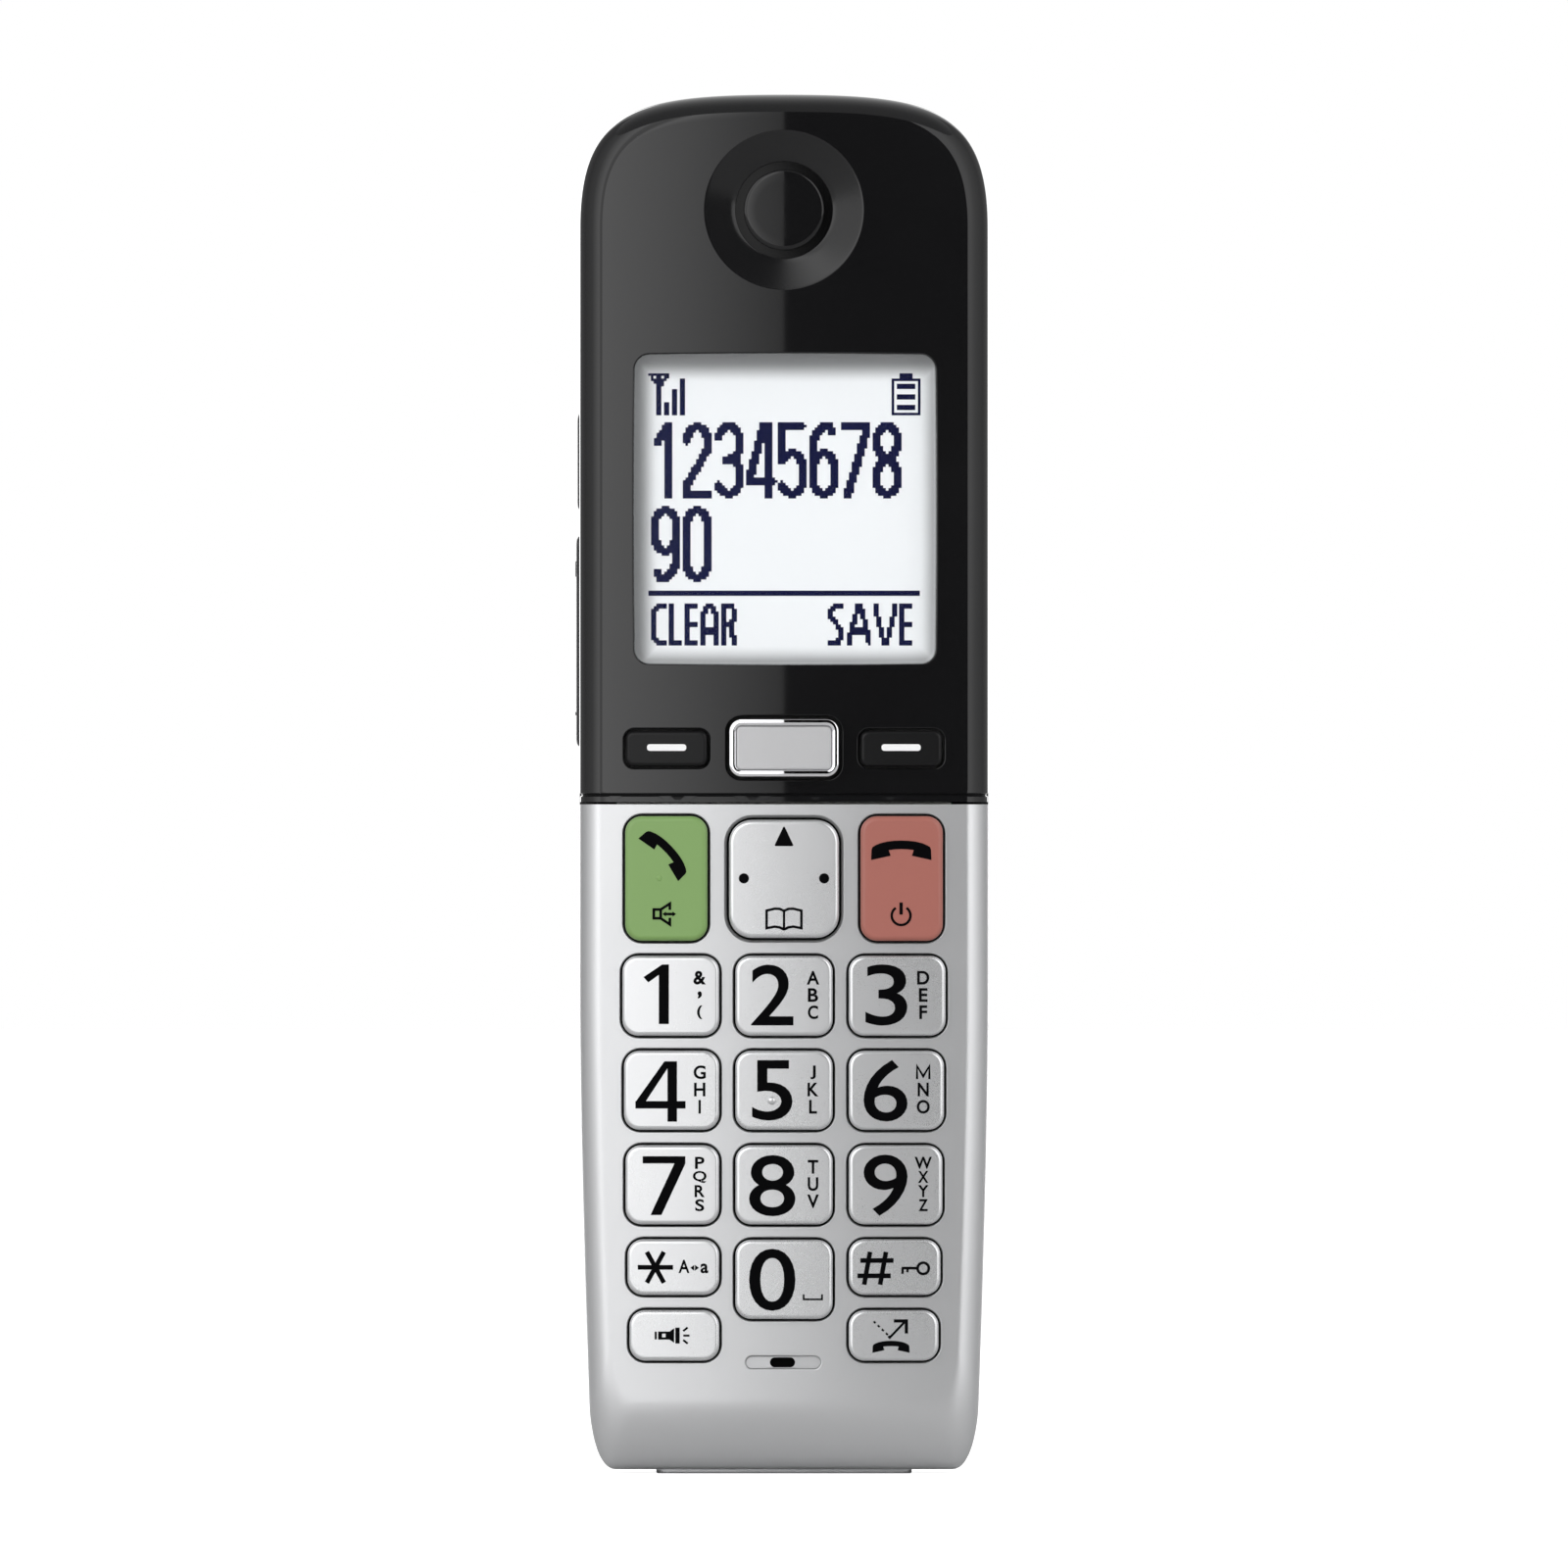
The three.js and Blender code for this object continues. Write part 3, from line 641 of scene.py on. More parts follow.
def keyOpening(node, kind, profile=openingEdge):
    place = keyPlace(node)
    radius, gap = openingRadius[kind], openingGap[kind]
    loops = []
    for grow, depth in [*profile, (0.0, case["wall"])]:
        out = gap + grow
        loops.append((roundedLoop(place["x"], place["z"], place["width"] + 2 * out, place["height"] + 2 * out,
                                  radius + out), depth))
    return profileHole(loops)


# Rounded rectangle whose sides bow out a little.
def bowedLoop(x, z, width, height, radius, bow, straight=12):
    loop = []
    for px, pz in roundedLoop(x, z, width, height, radius, 8, straight):
        u, v = (px - x) / (width / 2), (pz - z) / (height / 2)
        loop.append((px + bow * u * (1 - v * v), pz + bow * v * (1 - u * u)))
    return loop


displayPane = {
    "x": 0.14, "z": 123.05, "width": 38.0, "height": 39.1, "radius": 1.7, "bow": 0.14, "clear": 0.14,
    "edge": [(0.35, 0.0), (0.2, 0.02), (0.08, 0.08), (0.0, 0.2)],
    "opening": [(0.22, 0), (0.12, 0.02), (0.04, 0.08), (0, 0.2)],
}
earpiece = {
    "z": 161.2, "dish": 10.1, "hole": 6.2, "dishDepth": 0.8, "cap": 5.15, "capDepth": 0.3, "collar": 8,
    "flatBehind": -11.5,
}
micSlot = {"x": -0.1, "z": 14.25, "width": 9.55, "height": 1.6, "depth": 0.55, "hole": (-0.19, 3.2, 1.25)}
openingRadius = {"soft": 1.1, "center": 1.6, "call": 2.2, "navigator": 3, "number": 2.1}
openingGap = {"soft": 0.28, "center": 0.35, "call": 0.24, "navigator": 0.27, "number": 0.23}
radiusStep = 0.1  # a key's corners are this much tighter than its opening's


def displayHole():
    pane = displayPane
    loops = []
    for grow, depth in [*pane["opening"], (0, case["wall"])]:
        out = pane["clear"] + grow
        loops.append((bowedLoop(pane["x"], pane["z"], pane["width"] + 2 * out, pane["height"] + 2 * out,
                                pane["radius"] + out, pane["bow"]), depth))
    return profileHole(loops)


def earpieceHole():
    e = earpiece
    slope = [(e["dish"] + 0.15, 0), (e["dish"], 0.012), (e["dish"] - 0.2, 0.05)]
    for k in range(1, 7):
        share = k / 6
        slope.append((e["dish"] - 0.2 + (e["hole"] + 0.15 - e["dish"] + 0.2) * share,
                      0.05 + (e["dishDepth"] - 0.05) * share))
    slope += [(e["hole"] + 0.04, e["dishDepth"] + 0.05), (e["hole"], e["dishDepth"] + 0.15),
              (e["hole"], case["wall"])]
    return profileHole([(roundLoop(0, e["z"], radius, 96), depth) for radius, depth in slope])


def micHole():
    m = micSlot
    hx, hw, hh = m["hole"]

    def pill(grow, depth):
        return roundedLoop(m["x"], m["z"], m["width"] + 2 * grow, m["height"] + 2 * grow,
                           m["height"] / 2 + grow - 0.01), depth

    small = roundedLoop(hx, m["z"], hw, hh, hh / 2 - 0.01)
    return profileHole([pill(0.2, 0), pill(0.1, 0.03), pill(0.02, 0.12), pill(0, m["depth"] - 0.1),
                        pill(-0.08, m["depth"]), (small, m["depth"]), (small, case["wall"])])


numberNodes = ["key_1", "key_2", "key_3", "key_4", "key_5", "key_6", "key_7", "key_8", "key_9", "key_star",
               "key_0", "key_hash", "torch_key", "transfer_key"]


lip = {
    "top": 86.85, "low": 86.38, "groove": 0.3, "wave": 0.5, "fall": 0.05, "height": 0.47, "sunk": 0.07,
    "rows": [86.85, 86.75, 86.68, 86.6, 86.52, 86.45, 86.38, 86.1],
}


# A lip along the upper cover's lower edge, and a fine groove above it.
def lipGroove(z):
    if z >= lip["top"]:
        return 0
    down = lip["top"] - z
    if z > lip["low"]:
        wave = lip["groove"] * math.sin(math.pi * down / lip["wave"]) ** 2
        return wave + lip["fall"] * down / lip["height"]
    return lip["sunk"]


def seamLine(z, right):
    steps = case["seamSteps"]
    return [(right * (1 - 2 * k / steps), z) for k in range(1, steps)]


upperChain = upperHalf(case["seamHigh"], lip["rows"])
frontCover(
    "front_cover_upper", upperChain + mirrored(upperChain)[1:], seamLine(case["seamHigh"], -seamHalf),
    [displayHole(), earpieceHole(), keyOpening("soft_key_left", "soft"), keyOpening("soft_key_right", "soft"),
     keyOpening("center_key_frame", "center")],
    "glossBlack", lipGroove, lip["rows"], dish=True)

lowerChain = lowerHalf(case["seamLow"])
lowerHoles = [keyOpening(node, "number") for node in numberNodes]
lowerHoles += [keyOpening(node, "call") for node in ("talk_key", "off_key")]
lowerHoles += [keyOpening("navigator_key", "navigator", padOpeningEdge), micHole()]
# the walls of this cover's openings show dark bare plastic, also painted shade in the gaps round its keys
frontCover("front_cover_lower", mirrored(lowerChain) + lowerChain[1:], seamLine(case["seamLow"], seamHalf),
           lowerHoles, "silverPaint", bareShadedInside=True)


footStrip = {"edge": 0.2, "radius": 1.2, "overlap": 0.01}


# A flat strip under the case, with its lower edge rounded.
def footStripPiece(name, y, depth, material):
    loop = roundedLoop(0, y, 2 * case["footHalfWidth"], depth, footStrip["radius"])
    edge = footStrip["edge"]
    high = case["foot"] + footStrip["overlap"]
    cx = sum(p[0] for p in loop) / len(loop)
    cy = sum(p[1] for p in loop) / len(loop)

    def shrunk(amount, z):
        ring = []
        for x, y in loop:
            away = Vector((x - cx, y - cy))
            step = away.normalized() * amount
            ring.append((x - step.x, y - step.y, z))
        return ring

    rings = [shrunk(edge, 0), shrunk(edge * 0.3, edge * 0.3), [(x, y, edge) for x, y in loop],
             [(x, y, high) for x, y in loop]]
    return makePiece(name, joined(rings), loftFaces(rings), "handset", material, (), 40)


footStripPiece("foot_strip_front", -4, 6, "silverPaint")

print("stage: keys")

# The rounded edge of each kind of key, as (distance inwards, depth below its top).
keyEdge = {
    "number": [(0.52, 0.0), (0.38, 0.018), (0.26, 0.065), (0.15, 0.15), (0.06, 0.28), (0.015, 0.43),
               (0.0, 0.6)],
    "call": [(0.7, 0.0), (0.5, 0.02), (0.33, 0.08), (0.17, 0.2), (0.05, 0.38), (0.0, 0.6)],
    "soft": [(0.5, 0.0), (0.34, 0.02), (0.2, 0.08), (0.08, 0.2), (0.0, 0.4)],
    "navigator": [(0.55, 0.0), (0.4, 0.02), (0.26, 0.08), (0.12, 0.2), (0.03, 0.36), (0.0, 0.55)],
    "insert": [(0.3, 0.0), (0.15, 0.02), (0.05, 0.08), (0.0, 0.2)],
}


# A key that follows the crown of the case: flat grid top, rounded edge, straight wall and holding flange.
def keyPiece(name, place, radius, body, material, edge, replaces, hold=None, loopAt=None):
    hold = hold or (flange["front"], flange["back"], flange["wide"])

    def plainLoop(inset):
        return roundedLoop(place["x"], place["z"], place["width"] - 2 * inset, place["height"] - 2 * inset,
                           max(radius - inset, 0.2), 8, 6)

    loopAt = loopAt or plainLoop

    def onTop(x, z, depth=0):
        return x, case["front"] + place["top"] + crown(x) + depth, z

    points, faces = fillArea(loopAt(edge[0][0]), [], *gridStep["key"])
    verts = [onTop(x, z) for x, z in points]
    rings = [[onTop(x, z, depth) for x, z in loopAt(inset)] for inset, depth in edge[1:]]
    front, back, wide = hold
    for inset, y in ((0, front), (-wide, front), (-wide, back)):
        rings.append([(x, y, z) for x, z in loopAt(inset)])
    size = len(rings[0])
    track = [list(range(size))]
    for ring in rings:
        track.append(list(range(len(verts), len(verts) + size)))
        verts += ring
    faces = list(faces)
    for a, b in zip(track, track[1:]):
        faces += bands(a, b, True)
    faces.append(tuple(track[-1]))

    def normalAt(co):
        onFace = abs(co[1] - onTop(co[0], 0)[1]) < 0.003
        return crownNormal(co[0]) if onFace else Vector((0, 0, 0))

    # only the cap's top and its rounded edge carry the finish; the walls below show dark bare plastic, also
    # painted shade in the gap round the key
    def below(middle, _):
        return edge[-1][1] > 0.3 and middle[1] > onTop(middle[0], 0, edge[-1][1])[1] + 0.02

    return makePiece(name, verts, faces, body, material, replaces, 40, normalAt, below)


def frontKey(node, kind, body, material, hold=None):
    radius = openingRadius[kind] - radiusStep
    keyPiece(node, keyPlace(node), radius, body, material, keyEdge[kind], (node,), hold)


for node in numberNodes:
    frontKey(node, "number", node, "keySilver")
frontKey("talk_key", "call", "talk_key", "talkGreen")
frontKey("off_key", "call", "off_key", "offRed")
for node in ("soft_key_left", "soft_key_right"):
    frontKey(node, "soft", node, "keyBlack")
frontKey("navigator_key", "navigator", "navigator", "keySilver", (-10.4, -9.9, flange["wide"]))

centerKey = {
    "bar": [(0.0, 0.62), (0.0, 0.3), (0.03, 0.12), (0.08, 0.03), (0.14, 0.0), (0.44, 0.0), (0.74, 0.0),
            (0.8, 0.04), (0.85, 0.14), (0.87, 0.32), (0.875, 0.62)],
    "barWidth": 0.875, "roof": 0.03, "insertInset": 0.9, "insertDepth": 0.42, "insertRadius": 0.65,
    # where the frame shows dark bare plastic, also painted shade in the gap round the key
    "insertHold": (-10.6, -10.2, 0.0), "bareShadedSide": (0.45, 0.4), "bareShadedDepth": 0.1,
}


# Polished frame of the centre key: a rounded bar round its edge, down to the holding flange.
def centerFrame():
    place = keyPlace("center_key_frame")
    top = case["front"] + place["top"]
    faces = []
    loops = []

    def loopAt(inset):
        return roundedLoop(place["x"], place["z"], place["width"] - 2 * inset, place["height"] - 2 * inset,
                           max(openingRadius["center"] - inset, 0.35), 10, 40)

    def ringOf(inset, yAt):
        return [(x, yAt(x), z) for x, z in loopAt(inset)]

    loops.append(ringOf(-flange["wide"], lambda x: flange["back"]))
    loops.append(ringOf(-flange["wide"], lambda x: flange["front"]))
    loops.append(ringOf(0, lambda x: flange["front"]))
    for inset, depth in centerKey["bar"]:
        loops.append(ringOf(inset, lambda x, d=depth: top + crown(x) + centerKey["roof"] * abs(x) + d))
    loops.append(ringOf(centerKey["barWidth"], lambda x: flange["back"]))
    size = len(loops[0])
    track = [list(range(k * size, (k + 1) * size)) for k in range(len(loops))]
    for a, b in zip(track, track[1:] + track[:1]):
        faces += bands(a, b, True)

    # the outer wall low down, and all that lies below the case's face, is dark bare plastic, also painted
    # shade in the gap round the key
    def below(middle, _):
        down, aside = centerKey["bareShadedSide"]
        outerWall = middle[1] > top + down and abs(middle[0]) > place["width"] / 2 - aside
        return outerWall or middle[1] > case["front"] + centerKey["bareShadedDepth"]

    return makePiece("center_key_frame", joined(loops), faces, "center_key", "chrome",
                     ("center_key_frame",), 40, None, below)


def centerInsert():
    place = keyPlace("center_key_frame")
    inset = centerKey["insertInset"]
    inner = {"x": place["x"], "z": place["z"], "width": place["width"] - 2 * inset,
             "height": place["height"] - 2 * inset, "top": place["top"] + centerKey["insertDepth"]}
    return keyPiece("center_key_insert", inner, centerKey["insertRadius"], "center_key",
                    "insertGrey", keyEdge["insert"], ("center_key_insert",), centerKey["insertHold"])


centerFrame()
centerInsert()


# A small raised dot to find a key by touch.
def touchDot(name, node, material, x, z, radius, height):
    steps = 24
    rings = []
    base = case["front"] + keyPlace(node)["top"] + crown(x)
    for k in range(7):
        turn = math.pi / 2 * k / 7
        r = radius * math.cos(turn)
        rings.append([(x + r * math.cos(2 * math.pi * i / steps),
                       base - height * math.sin(turn), z + r * math.sin(2 * math.pi * i / steps))
                      for i in range(steps)])
    rings.insert(0, [(px, base + 0.1, pz) for px, _, pz in rings[0]])
    return makePiece(name, joined(rings), loftFaces(rings), node, material, (), 60)


touchDot("key_5_dot", "key_5", "keySilver", -1.55, 47.65, 0.55, 0.42)
touchDot("talk_key_dot", "talk_key", "talkGreen", -15.9, 76.0, 0.38, 0.1)

print("stage: legends")

printed = {"proud": 0.03, "sunk": 0.01, "digitWeight": 0.006, "letterWeight": 0.024, "signWeight": 0.034}


# Collects outlines, bands and letters in the plane of a key's top, and makes one thin piece of them.
class Legend:
    def __init__(self, top):
        self.top = top
        self.verts = []
        self.faces = []

    def level(self, x, front):
        return self.top + crown(x) + (-printed["proud"] if front else printed["sunk"])

    def outline(self, loop):
        count = len(loop)
        start = len(self.verts)
        for front in (True, False):
            self.verts += [(x, self.level(x, front), z) for x, z in loop]
        self.faces.append(tuple(start + i for i in range(count)))
        self.faces.append(tuple(start + count + i for i in reversed(range(count))))
        upper, lower = list(range(start, start + count)), list(range(start + count, start + 2 * count))
        self.faces += bands(lower, upper, True)

    def band(self, path, width, closed=False):
        count = len(path)
        left, right = [], []
        for i, (x, z) in enumerate(path):
            before = path[i - 1] if i or closed else path[i]
            after = path[(i + 1) % count] if i + 1 < count or closed else path[i]
            a = Vector((x - before[0], z - before[1]))
            b = Vector((after[0] - x, after[1] - z))
            if a.length < 1e-9:
                a = b
            if b.length < 1e-9:
                b = a
            a, b = a.normalized(), b.normalized()
            across = Vector((-(a + b).y, (a + b).x)).normalized()
            reach = width / 2 / max(across.dot(Vector((-a.y, a.x))), 0.4)
            left.append((x + across.x * reach, z + across.y * reach))
            right.append((x - across.x * reach, z - across.y * reach))
        start = len(self.verts)
        for front in (True, False):
            for side in (left, right):
                self.verts += [(x, self.level(x, front), z) for x, z in side]
        rows = [[start + k * count + i for i in range(count)] for k in range(4)]
        topLeft, topRight, lowLeft, lowRight = rows
        for a, b in ((topLeft, topRight), (topRight, lowRight), (lowRight, lowLeft), (lowLeft, topLeft)):
            self.faces += bands(a, b, closed)
        if not closed:
            self.faces.append((topLeft[0], topRight[0], lowRight[0], lowLeft[0]))
            self.faces.append((topLeft[-1], lowLeft[-1], lowRight[-1], topRight[-1]))

    def text(self, string, x, z, width, height, weight):
        curve = bpy.data.curves.new("lettering", "FONT")
        curve.body = string
        curve.extrude = 0.5
        curve.offset = weight
        curve.resolution_u = 6
        holder = bpy.data.objects.new("lettering", curve)
        bpy.context.scene.collection.objects.link(holder)
        bpy.context.view_layer.update()
        mesh = bpy.data.meshes.new_from_object(holder.evaluated_get(bpy.context.evaluated_depsgraph_get()))
        bpy.data.objects.remove(holder)
        xs = [v.co.x for v in mesh.vertices]
        zs = [v.co.y for v in mesh.vertices]
        start = len(self.verts)
        for v in mesh.vertices:
            px = x + ((v.co.x - min(xs)) / (max(xs) - min(xs)) - 0.5) * width
            pz = z + ((v.co.y - min(zs)) / (max(zs) - min(zs)) - 0.5) * height
            self.verts.append((px, self.level(px, v.co.z > 0), pz))
        self.faces += [tuple(start + i for i in face.vertices) for face in mesh.polygons]
        bpy.data.meshes.remove(mesh)

    def finish(self, name, body, material="printBlack", slot="gloss_black"):
        return makePiece(name, self.verts, self.faces, body, material, (), 30)


def topOf(node):
    return case["front"] + keyPlace(node)["top"]


def arc(x, z, radius, start, end):
    steps = 24
    turns = [math.radians(start + (end - start) * k / steps) for k in range(steps + 1)]
    return [(x + radius * math.cos(turn), z + radius * math.sin(turn)) for turn in turns]


# Outline of a telephone receiver, turned and sized.
def receiver(x, z, width, turn):
    half = [(0, 1.25), (0.9, 1.22), (1.8, 1.12), (2.7, 0.9), (3.35, 0.62), (3.68, 0.4), (3.8, 0.08),
            (3.86, -1.25), (1.36, -0.7), (1.6, 0.03), (0.8, 0.12), (0, 0.15)]
    loop = half + [(-px, pz) for px, pz in reversed(half[1:-1])]
    scale, c, s = width / 7.72, math.cos(math.radians(turn)), math.sin(math.radians(turn))
    return [(x + scale * (px * c - pz * s), z + scale * (px * s + pz * c)) for px, pz in loop]


# Each digit: centre, width and height of its outline, and the letters beside it.
digits = {
    "key_1": ("1", -16.3, 61.2, 3.25, 7.6, "&,("), "key_2": ("2", -1.5, 61.1, 5.4, 7.75, "ABC"),
    "key_3": ("3", 13.05, 61.1, 5.35, 7.8, "DEF"), "key_4": ("4", -15.75, 48.8, 6.4, 7.7, "GHI"),
    "key_5": ("5", -1.5, 48.95, 5.15, 7.7, "JKL"), "key_6": ("6", 12.95, 48.9, 5.6, 7.85, "MNO"),
    "key_7": ("7", -15.3, 36.8, 5.45, 7.5, "PQRS"), "key_8": ("8", -1.5, 36.8, 5.9, 7.8, "TUV"),
    "key_9": ("9", 12.95, 36.85, 5.6, 7.8, "WXYZ"), "key_0": ("0", -1.5, 24.8, 5.9, 7.9, ""),
}
letterWidths = {"M": 1.8, "W": 2.2, "Q": 1.75, "O": 1.65, "G": 1.55, "D": 1.55, "N": 1.4, "H": 1.45, "A": 1.6,
                "V": 1.5, "C": 1.3, "K": 1.4, "X": 1.35, "Y": 1.35, "U": 1.35, "B": 1.3, "&": 1.6, "R": 1.3,
                "T": 1.35, "I": 0.22, "J": 0.7, "(": 0.68, ",": 0.55, "L": 1.0, "F": 1.0, "E": 1.1, "P": 1.2,
                "S": 1.15, "Z": 1.2}
letterColumn = {"left": -10.75, "middle": 3.7, "right": 17.75, "height": 1.75, "pitch": 2.2, "pitchFour": 1.8}


def digitLegend(node):
    string, x, z, width, height, letters = digits[node]
    legend = Legend(topOf(node))
    if string == "1":
        stem, flag, left, right = 1.28, 1.35, x - width / 2, x + width / 2
        low, high = z - height / 2, z + height / 2
        legend.outline([(right, high), (right - 0.85, high), (left, high - 1.62), (left + 0.62, high - 2.3),
                        (right - stem, high - flag + 0.02), (right - stem, low), (right, low)])
    elif string == "4":
        low, high, left, right = z - height / 2, z + height / 2, x - width / 2, x + width / 2
        legend.band([(left + 5.25 - 0.55, high), (left + 5.25 - 0.55, low)], 1.22)
        legend.band([(left, low + 2.15), (right, low + 2.15)], 0.95)
        legend.outline([(left, low + 1.7), (left, low + 2.5), (left + 3.7, high), (left + 4.7, high),
                        (left + 4.2, high - 0.75), (left + 1.35, low + 2.62)])
    elif string == "7":
        low, high, left, right = z - height / 2, z + height / 2, x - width / 2, x + width / 2
        legend.outline([(left, high), (right, high), (right, high - 0.95), (left + 2.4, low),
                        (left + 1.0, low), (right - 1.4, high - 0.92), (left, high - 0.92)])
    else:
        legend.text(string, x, z, width, height, printed["digitWeight"])
    column = letterColumn["left"] if x < -5 else letterColumn["middle"] if x < 5 else letterColumn["right"]
    pitch = letterColumn["pitchFour"] if len(letters) > 3 else letterColumn["pitch"]
    centre = keyPlace(node)["z"] + 0.1
    for k, letter in enumerate(letters):
        spot = centre + ((len(letters) - 1) / 2 - k) * pitch
        tall = 0.95 if letter == "," else letterColumn["height"] * (0.88 if len(letters) > 3 else 1)
        if letter == "I":
            legend.band([(column, spot + tall / 2), (column, spot - tall / 2)], 0.3)
        elif letter == "M":
            wide = letterWidths[letter] / 2 - 0.12
            legend.band([(column - wide, spot - tall / 2), (column - wide, spot + tall / 2 - 0.1),
                         (column, spot - tall * 0.3), (column + wide, spot + tall / 2 - 0.1),
                         (column + wide, spot - tall / 2)], 0.29)
        else:
            weight = printed["signWeight"] if letter in "&,(" else printed["letterWeight"]
            legend.text(letter, column, spot, letterWidths[letter], tall, weight)
    return legend


for node in digits:
    if node != "key_0":
        digitLegend(node).finish(node + "_print", node)

zero = digitLegend("key_0")
zero.band([(2.5, 22.95), (2.5, 22.3), (4.85, 22.3), (4.85, 22.95)], 0.24)
zero.finish("key_0_print", "key_0")

star = Legend(topOf("key_star"))
for turn in (0, 61, -61):
    c, s = 2.25 * math.cos(math.radians(turn)), 2.25 * math.sin(math.radians(turn))
    star.band([(-16.4 - c, 26.38 - s), (-16.4 + c, 26.38 + s)], 0.6)
star.text("A", -12.75, 26.5, 1.4, 1.7, 0.022)
star.text("a", -10.15, 26.25, 1.0, 1.25, 0.026)
for side in (-1, 1):
    arrow = [(-11.4 + 0.55 * side, 26.32), (-11.4 + 0.04 * side, 26.7), (-11.4 + 0.04 * side, 25.94)]
    star.outline(arrow[::side])
star.finish("key_star_print", "key_star")

hashMark = Legend(topOf("key_hash"))
for a, b in [((9.72, 27.25), (13.97, 27.25)), ((9.36, 25.3), (13.61, 25.3)),
             ((10.97, 28.36), (10.22, 24.17)), ((13.0, 28.36), (12.25, 24.17))]:
    hashMark.band([a, b], 0.6)
hashMark.band(arc(17.75, 26.25, 0.72, 0, 345)[:-1], 0.34, True)
hashMark.band([(17.0, 26.28), (15.0, 26.28)], 0.34)
for x, low in ((15.12, 25.55), (15.75, 25.75)):
    hashMark.band([(x, 26.3), (x, low)], 0.3)
hashMark.finish("key_hash_print", "key_hash")

torchMark = Legend(topOf("torch_key"))
torchMark.outline([(-16.5, 18.18), (-16.5, 17.18), (-16.22, 17.18), (-16.22, 18.18)])
torchMark.outline([(-16.05, 18.2), (-16.05, 17.16), (-15.55, 17.16), (-15.55, 18.2)])
torchMark.outline([(-15.55, 18.2), (-15.55, 17.92), (-15.1, 17.92), (-15.1, 18.2)])
torchMark.outline([(-15.55, 17.46), (-15.55, 17.16), (-15.1, 17.16), (-15.1, 17.46)])
torchMark.outline([(-15.1, 18.2), (-15.1, 17.16), (-14.6, 17.16), (-14.0, 16.75), (-14.0, 18.62),
                   (-14.6, 18.2)])
torchMark.outline([(-13.86, 18.7), (-13.86, 16.66), (-13.3, 16.66), (-13.3, 18.7)])
for end in ((-12.28, 18.72), (-12.05, 17.68), (-12.28, 16.66)):
    torchMark.band([(-12.85, 17.68 + (end[1] - 17.68) * 0.55), end], 0.27)
torchMark.finish("torch_key_print", "torch_key")

transferMark = Legend(topOf("transfer_key"))
transferMark.outline(receiver(13.64, 16.25, 4.75, 0))
for k in range(4):
    x, z = 11.55 + 0.52 * k, 19.38 - 0.5 * k
    transferMark.band([(x - 0.13, z + 0.12), (x + 0.13, z - 0.12)], 0.26)
transferMark.band([(13.3, 17.62), (13.48, 17.42), (15.35, 19.38)], 0.3)
transferMark.band([(14.0, 19.55), (15.6, 19.55), (15.6, 17.95)], 0.42)
transferMark.finish("transfer_key_print", "transfer_key")

talkMark = Legend(topOf("talk_key"))
talkMark.outline(receiver(-15.15, 79.15, 7.45, -47))
talkMark.band([(-16.6, 72.0), (-15.72, 72.0), (-15.72, 70.88), (-16.6, 70.88)], 0.34, True)
talkMark.band([(-15.72, 72.0), (-14.55, 72.75), (-14.55, 71.95)], 0.34)
talkMark.band([(-15.72, 70.88), (-14.55, 70.1), (-14.55, 70.95)], 0.34)
talkMark.band([(-15.2, 71.42), (-14.05, 71.42)], 0.34)
for tip, side in ((-15.5, 1), (-13.75, -1)):
    talkMark.outline([(tip, 71.42), (tip + 0.45 * side, 71.1), (tip + 0.45 * side, 71.74)][::side])
talkMark.finish("talk_key_print", "talk_key")

offMark = Legend(topOf("off_key"))
offMark.outline(receiver(14.95, 79.55, 7.7, 0))
offMark.band(arc(14.93, 71.22, 1.2, 125, 415), 0.32)
offMark.band([(14.93, 71.35), (14.93, 72.9)], 0.42)
offMark.finish("off_key_print", "off_key")

padMark = Legend(topOf("navigator_key"))
padMark.outline([(-0.08, 82.55), (-1.2, 80.2), (-1.08, 80.08), (1.08, 80.08), (1.2, 80.2), (0.08, 82.55)])
for x in (-5.12, 5.12):
    padMark.outline(roundLoop(x, 75.97, 0.65, 28))
for side in (-1, 1):
    page = [(0, 71.82), (0.55 * side, 72.08), (1.2 * side, 72.1), (2.22 * side, 71.86), (2.22 * side, 69.62),
            (1.2 * side, 69.82), (0.55 * side, 69.72), (0, 69.45)]
    padMark.band(page, 0.33)
padMark.band([(0, 71.9), (0, 69.35)], 0.3)
padMark.finish("navigator_key_print", "navigator")

for node in ("soft_key_left", "soft_key_right"):
    bar = Legend(topOf(node))
    place = keyPlace(node)
    bar.outline(roundedLoop(place["x"] - 0.02, 92.65, 5.0, 0.85, 0.36, 5))
    bar.finish(node + "_print", node, "printWhite", "white_plastic")

print("stage: display")

